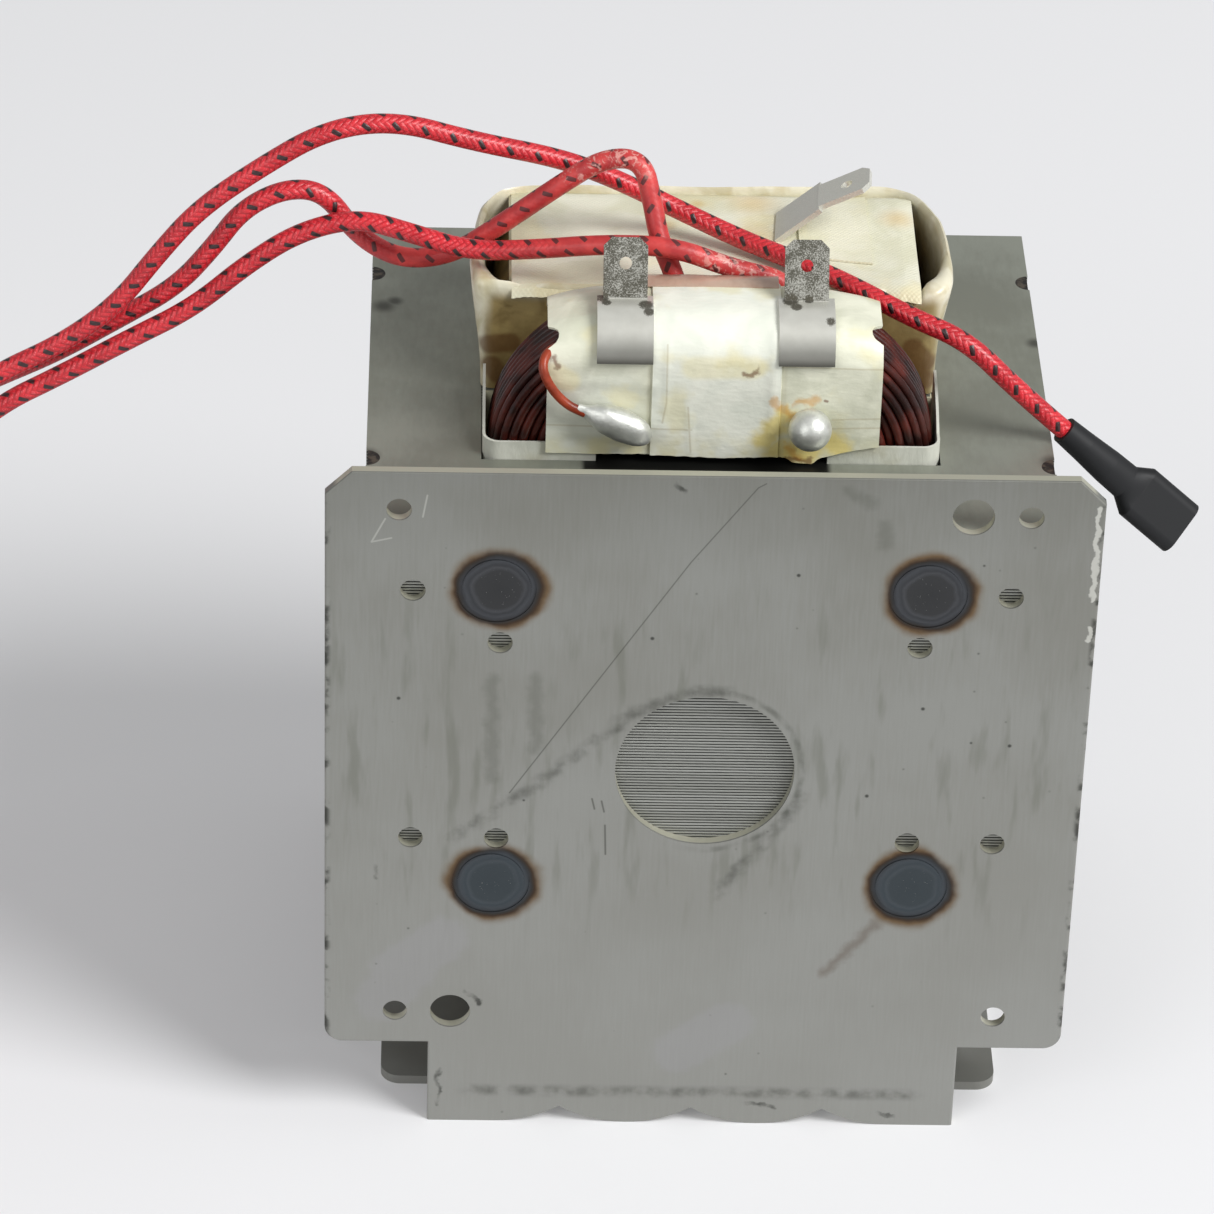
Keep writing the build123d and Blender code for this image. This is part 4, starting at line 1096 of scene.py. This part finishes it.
SHELL_FOOT = 106.6
SHELL_TOP = 123.4
SHELL_CENTRE = Vector((0.0, 52.0))
# The shell's section: on which side, how far across that side, and how high
shell_section = [
    ("outside", 0.0, SHELL_FOOT), ("outside", 0.06, 110.0), ("outside", 0.3, 114.0), ("outside", 0.62, 118.0),
    ("outside", 0.9, 121.5), ("outside", 1.0, SHELL_TOP), ("rim", 0.15, 124.2), ("rim", 0.45, 124.5),
    ("rim", 0.8, 124.2), ("rim", 1.0, 123.3), ("inside", 0.9, 120.0), ("inside", 0.6, 115.0),
    ("inside", 0.35, 109.0), ("inside", 0.3, SHELL_FOOT),
]


def shell_rows():
    """The shell's section at each point round it: up outside, over its rim and down inside."""
    loops = even_loop(shell_foot_line), even_loop(shell_rim_line), even_loop(shell_lip_line)
    rows = []
    for side, share, level in shell_section:
        row = []
        for foot, rim, lip in zip(*loops):
            if side == "outside":
                place = foot.lerp(rim, share)
            elif side == "rim":
                place = rim.lerp(lip, share)
            else:
                place = (foot + (SHELL_CENTRE - foot).normalized() * 1.0).lerp(lip, share)
            height = level
            if place.y < 39.6 and level > 118:
                ease = min(1.0, (39.6 - place.y) / 1.4)
                height += (spread(shell_front_heights, place.x) - SHELL_TOP) * ease * (level - 118) / 6.5
            ripple = 0.28 * noise.noise(Vector((place.x * 0.16, place.y * 0.16, level * 0.05)))
            ripple *= min(1.0, (level - SHELL_FOOT) / 9)
            out = Vector((place.x / 34, (place.y - SHELL_CENTRE.y) / 15)).normalized()
            place = place + out * ripple
            if level > 121:
                height += 0.28 * noise.noise(Vector((place.x * 0.2, place.y * 0.2, 7.7)))
            row.append(at(place.x, place.y, height))
        rows.append(row)
    return rows


# Soldered end of the primary


wire_end_route = [
    (-21.4, 21.6, 123.4), (-22.6, 20.6, 123.9), (-24.2, 18.2, 123.9), (-24.6, 16.6, 122.6), (-23.8, 16.1, 120.6),
    (-22.5, 16.0, 118.6), (-21.1, 15.9, 117.2), (-19.8, 15.8, 116.4), (-18.4, 15.7, 115.8),
]


DROP_SIDES = 40


def drop_mesh():
    """The long drop of solder, slantwise from the wire's end to its blunt foot."""
    head, foot = Vector((-19.6, 15.85, 116.5)), Vector((-8.9, 15.5, 111.6))
    run = foot - head
    along = run.normalized()
    side = Vector((0, 1, 0))
    side = (side - along * side.dot(along)).normalized()
    cross = along.cross(side)
    outline = [
        (0.0, 0.74), (0.04, 0.8), (0.1, 0.86), (0.15, 1.05), (0.22, 1.5), (0.3, 1.9), (0.4, 2.25), (0.52, 2.42),
        (0.64, 2.45), (0.74, 2.35), (0.83, 2.12), (0.9, 1.75), (0.95, 1.3), (0.985, 0.75), (1.0, 0.0),
    ]
    rows = []
    for share, size in outline:
        row = []
        for step in range(DROP_SIDES):
            angle = 2 * math.pi * step / DROP_SIDES
            out = side * math.cos(angle) * 0.88 + cross * math.sin(angle)
            centre = head + run * share
            rough = 0.16 * size * noise.noise(centre * 0.35 + out * 0.8)
            place = centre + out * (size + rough) + Vector((0, 0, 0.4 * math.sin(math.pi * share)))
            place.y = min(place.y, WRAP_FRONT + 0.05)
            row.append(at(*place))
        rows.append(row)
    points = [point for row in rows for point in row]
    head_face = list(reversed(range(DROP_SIDES)))
    return mesh_of("solder_drop", points, lattice(len(rows), DROP_SIDES, round_columns=True) + [head_face])


def ring_mesh(name, rows):
    """A closed section carried round a closed loop."""
    points = [point for row in rows for point in row]
    return mesh_of(name, points, lattice(len(rows), len(rows[0]), round_rows=True, round_columns=True))


# Finishes of the wrap, the tape and the resin


def wrap_paper():
    """The primary's wrap: cream, whiter under its band, with flux stains by the ball, and painted shade along its
    creases and beside its band.
    """
    material, shader, place = finish("wrap_paper", Roughness=0.4, Coat_Weight=0.3, Coat_Roughness=0.3)
    x, y, z = parts(place)
    front = place * (1, 0, 1)
    torn = strayed(front, 0.7, 2.6)
    cloud = grain(place, 0.13, 4.0, twist=0.7)
    fibre = grain(place, 1.4, 5.0, (0.5, 1, 1))
    left = span(x, -9, -13) * span(z, 124, 118)
    band = above(x, BAND_LEFT) * below(x, BAND_RIGHT)
    lower = span(z, 112.0, 107.5) * span(grain(place, 0.22, 3.0), 0.35, 0.6)
    yellow = marks(front, [[(-3.0, 122.6), (5.5, 122.8)], [(-22.6, 121.0), (-21.0, 120.0)]], 2.4, 1.2)
    flux = marks(torn, [
        [(7.4, 110.6), (8.6, 112.6), (10.0, 114.4)], [(9.0, 109.0), (14.0, 108.4)], [(17.2, 110.2), (18.4, 109.2)],
    ], 2.8, 0.6)
    amber = marks(torn, [
        [(8.4, 117.4), (9.6, 116.0), (11.2, 114.6)], [(12.0, 117.0), (14.4, 117.4)], [(10.8, 109.4), (12.4, 107.6)],
    ], 1.1, 0.1)
    brown = marks(torn, [
        [(4.4, 121.6), (6.0, 122.2)], [(11.0, 107.6), (14.0, 107.0)], [(-22.9, 123.4), (-22.4, 122.4)],
    ], 0.75, 0.15)
    burns = marks(front, [[(15.8, 117.3), (16.1, 117.2)], [(9.2, 124.6), (9.3, 124.5)]], 0.3, 0.1)
    # Painted shade: thin darker lines along the creases.
    creases = marks(front, [
        [(-6.9, 126.0), (-6.8, 116.8), (-7.3, 113.5)], [(-3.7, 116.1), (-3.1, 108.5)], [(-11.0, 112.5), (-3.1, 112.3)],
        [(-23.9, 112.6), (-15.0, 112.4)], [(17.0, 114.1), (23.9, 114.4)], [(17.0, 112.6), (23.9, 112.8)],
        [(9.4, 122.9), (23.9, 122.5)],
    ], 0.22, 0.04)
    # Painted shade: darker beside both sides of the band.
    band_sides = most(
        span(abs(x - (BAND_RIGHT + 0.5)), 0.6, 0.1),
        span(abs(x - (BAND_LEFT - 0.4)), 0.5, 0.1),
    )
    shown = layered(tones(cloud, 0.36, 0.62, (206, 207, 186), (226, 226, 206)), (left, 0.55, (208, 211, 202)))
    shown = mix(band, shown, tones(cloud, 0.3, 0.66, (222, 225, 212), (236, 237, 224)))
    shown = layered(
        shown,
        (span(grain(place, 0.16, 3.0), 0.5, 0.68), 0.5, (222, 214, 168)),
        (lower, 0.6, (216, 208, 156)),
        (yellow, 0.35, (230, 216, 150)),
        (flux, 0.8, (226, 206, 118)),
        (amber, 0.6, (206, 150, 60)),
        (most(brown, burns), 0.7, (104, 56, 26)),
        (creases, 0.3, (160, 140, 96)),
        (band_sides, 0.25, (176, 170, 140)),
    )
    fill(shader.inputs["Base Color"], shown)
    fill(shader.inputs["Roughness"], span(band, 0, 1, 0.44, 0.32))
    relief(shader, fibre + cloud * 1.5, 0.07)
    return material


def tape_finish(name, base, pale):
    """Tape on the secondary: woven cream, warm where the varnish has soaked in."""
    material, shader, place = finish(name, Roughness=0.46, Coat_Weight=0.25, Coat_Roughness=0.35)
    x, y, z = parts(place)
    cloud = grain(place, 0.09, 4.0, twist=0.8)
    fibre = grain(place, 1.8, 4.0, (0.5, 1, 1))
    stain_places = [
        (-7.4, 58.0, 1.6), (-1.4, 61.3, 1.0), (-6.3, 55.1, 1.4), (-10.2, 65.4, 1.2), (6.9, 62.0, 3.2),
        (6.4, 52.0, 3.6), (28.0, 58.0, 2.2),
    ]
    stains = spots(place, [((stain_x, stain_y, TAPE_TOP), size * 1.8, 0.1) for stain_x, stain_y, size in stain_places])
    weave = maths("SINE", x * 9.0) * maths("SINE", y * 9.0)
    shown = layered(
        tones(cloud, 0.36, 0.62, base, pale),
        (span(grain(place, 0.1, 3.0), 0.5, 0.66), 0.45, (222, 208, 156)),
        (span(y, 38.6, 36.6), 0.35, (196, 188, 150)),
        (stains, 0.5, (206, 168, 84)),
        (span(weave, 0.4, 1.0), 0.1, (180, 172, 140)),
    )
    fill(shader.inputs["Base Color"], shown)
    relief(shader, weave * 0.3 + (fibre + cloud), 0.07)
    return material


def resin_finish():
    """Resin-soaked sheet: pale where it is thin at the rim, amber down its front, partly its own colour and partly
    painted shade.
    """
    material, shader, place = finish("resin_sheet", Roughness=0.38, Coat_Weight=0.4, Coat_Roughness=0.25)
    x, y, z = parts(place)
    cloud = grain(place, 0.16, 4.0, twist=0.8)
    pale = tones(cloud, 0.36, 0.62, (196, 188, 156), (222, 217, 194))
    amber = tones(cloud, 0.38, 0.6, (96, 80, 46), (150, 132, 88))
    # The amber at the front, outside and just inside the lip, is partly the resin's colour and partly painted shade.
    inside = span(z, 123.6, 121.0) * span(y, 39.8, 38.2)
    between = span(abs(x - 0.4), 33.4, 31.6)
    front = most(inside, span(z, 123.2, 119.0) * span(y, 41.0, 38.0, 0.0, 0.8))
    soaked = placed(patches, Place=place, Waves=0.2, Low=0.52, High=0.68)["Mask"]
    burnt = marks(place * (1, 0, 1), [
        [(-32.0, 114.0), (-29.0, 114.4)], [(-31.6, 110.5), (-30.6, 109.0)],
        [(29.6, 114.6), (31.6, 112.0)], [(29.8, 111.0), (31.8, 109.0)],
    ], 2.0, 1.1)
    shown = layered(
        mix(front * between, pale, amber),
        (span(z, 123.0, 116.0) * span(abs(x), 33.4, 32.2), 0.8, (134, 114, 70)),
        (soaked, 0.35, (186, 166, 108)),
        (burnt * span(y, 46, 42, 0.0, 0.7), 1, (96, 62, 30)),
    )
    fill(shader.inputs["Base Color"], shown)
    relief(shader, cloud + grain(place, 1.1, 5.0) * 0.4, 0.14)
    return material


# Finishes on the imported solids

sheets = lamination_steel()
bead = weld_bead()
cream = paper("cream_paper", (196, 192, 160), (216, 212, 184), (190, 170, 118))
white = paper("white_paper", (190, 192, 180), (212, 213, 202), (180, 176, 150), 0.6, 0.05)
tabs = tinned("tinned_tabs", 1.0, upright=True)
socket_tin = tinned("tinned_sockets", 0.3)
sleeve_black = finish("sleeve_black", Base_Color=colour(24, 25, 27), Roughness=0.55, Specular_IOR_Level=0.35)[0]
lead_solder = solder()
solid_finishes = {
    "base_plate": plate_steel(),
    "foot_bracket": foot_steel(),
    "core_bar": sheets,
    "core_e_stack": sheets,
    "magnetic_shunt_left": sheets,
    "magnetic_shunt_right": sheets,
    "weld_seam_front_left": bead,
    "weld_seam_front_right": bead,
    "weld_seam_rear_left": bead,
    "weld_seam_rear_right": bead,
    "secondary_winding": enamel("varnished_roll", (96, 80, 48), (136, 116, 74)),
    "secondary_wrap": cream,
    "shunt_paper_left": cream,
    "shunt_paper_right": cream,
    "primary_liner_left": white,
    "primary_liner_right": white,
    "primary_terminal_left": tabs,
    "primary_terminal_right": tabs,
    "high_voltage_terminal": tinned("tinned_slanted_tab", 0.12),
    "receptacle_looped": socket_tin,
    "receptacle_short": socket_tin,
    "receptacle_sleeve_looped": sleeve_black,
    "receptacle_sleeve_short": sleeve_black,
    "solder_ball": lead_solder,
    "heater_winding": short_braid,
}
for name, material in solid_finishes.items():
    paint(name, material)


# Pieces drawn over their solids


def paper_sheet(name, rows, thickness, material, stands_for=()):
    """A drawn sheet of paper or tape."""
    piece(name, sheet_mesh(name, rows, thickness), material, stands_for, 50)


copper = enamel("copper_enamel", (34, 12, 9), (84, 32, 24))
# The winding's body behind the turns that show is the copper painted nearly black: painted shade in the gaps between
# the turns.
roll = enamel("copper_painted_shade", (12, 5, 4), (26, 10, 8))
wire = enamel("wire_enamel", (112, 38, 20), (162, 66, 40))
film = paper("brown_film", (178, 146, 128), (198, 170, 150), (150, 110, 88), 0.25, 0.6)
tape = tape_finish("secondary_tape", (216, 214, 188), (230, 228, 208))
patch = tape_finish("secondary_tape_patch", (222, 219, 192), (232, 229, 208))
wire_line = centreline([at(*point) for point in wire_end_route])
turns = turns_mesh("primary_turns", primary_turns())
body = roll_mesh("primary_roll", PRIMARY_FRONT + ROLL_INSET, PRIMARY_REAR - ROLL_INSET)
piece("primary_turns", turns, copper, ["primary_winding"], 0)
piece("primary_roll", body, roll, [], 40)
paper_sheet("primary_wrap_strip", wrap_rows(), 0.45, wrap_paper(), ["primary_wrap"])
bend = tube_mesh("primary_wire_bend", wire_line, WIRE_RADIUS * MM)
piece("primary_wire_bend", bend, wire, ["primary_wire_end"], 60)
piece("solder_drop_blob", drop_mesh(), lead_solder, ["solder_drop"], 60)
paper_sheet("primary_wrap_film", film_rows(), 0.15, film)
paper_sheet("secondary_tape_strip", tape_rows(), 0.4, tape)
paper_sheet("secondary_tape_patch", patch_rows(), 0.3, patch)
shell = ring_mesh("secondary_shell_sheet", shell_rows())
piece("secondary_shell_sheet", shell, resin_finish(), ["secondary_shell"], 60)


# Floor, backdrop and lamps


FLOOR_HALF = 4


def lamp(name, place, target, size, power):
    """A round area lamp at a place, turned to its target."""
    light = bpy.data.lights.new(name, "AREA")
    light.shape = "DISK"
    light.size = size
    light.energy = power
    made = bpy.data.objects.new(name, light)
    made.location = place
    made.rotation_euler = (Vector(target) - Vector(place)).to_track_quat("-Z", "Y").to_euler()
    scene.collection.objects.link(made)


corners = [(x * FLOOR_HALF, y * FLOOR_HALF, 0) for x, y in ((-1, -1), (1, -1), (1, 1), (-1, 1))]
floor = bpy.data.objects.new("floor", mesh_of("floor", corners, [(0, 1, 2, 3)]))
scene.collection.objects.link(floor)
table, table_shader = finish("pale_table", Base_Color=(0.66, 0.66, 0.67, 1), Roughness=0.9)[:2]
rays = node("ShaderNodeLightPath", {}, table.node_tree).outputs
looked_at = most(*[Value(rays[kind]) for kind in ("Is Camera Ray", "Is Glossy Ray", "Is Transmission Ray")])
table_shader.inputs["Emission Color"].default_value = (0.80, 0.80, 0.81, 1)
fill(table_shader.inputs["Emission Strength"], looked_at * 0.17)
floor.data.materials.append(table)

world = bpy.data.worlds.new("studio")
scene.world = world
world.use_nodes = True
background = world.node_tree.nodes["Background"]
background.inputs["Color"].default_value = (0.86, 0.87, 0.88, 1)
background.inputs["Strength"].default_value = 0.45
lamp("key", (1.1, -0.7, 1.3), (0, 0, 0.05), 0.9, 32)
lamp("fill", (-1.0, -1.2, 0.9), (0, 0, 0.06), 1.2, 7)
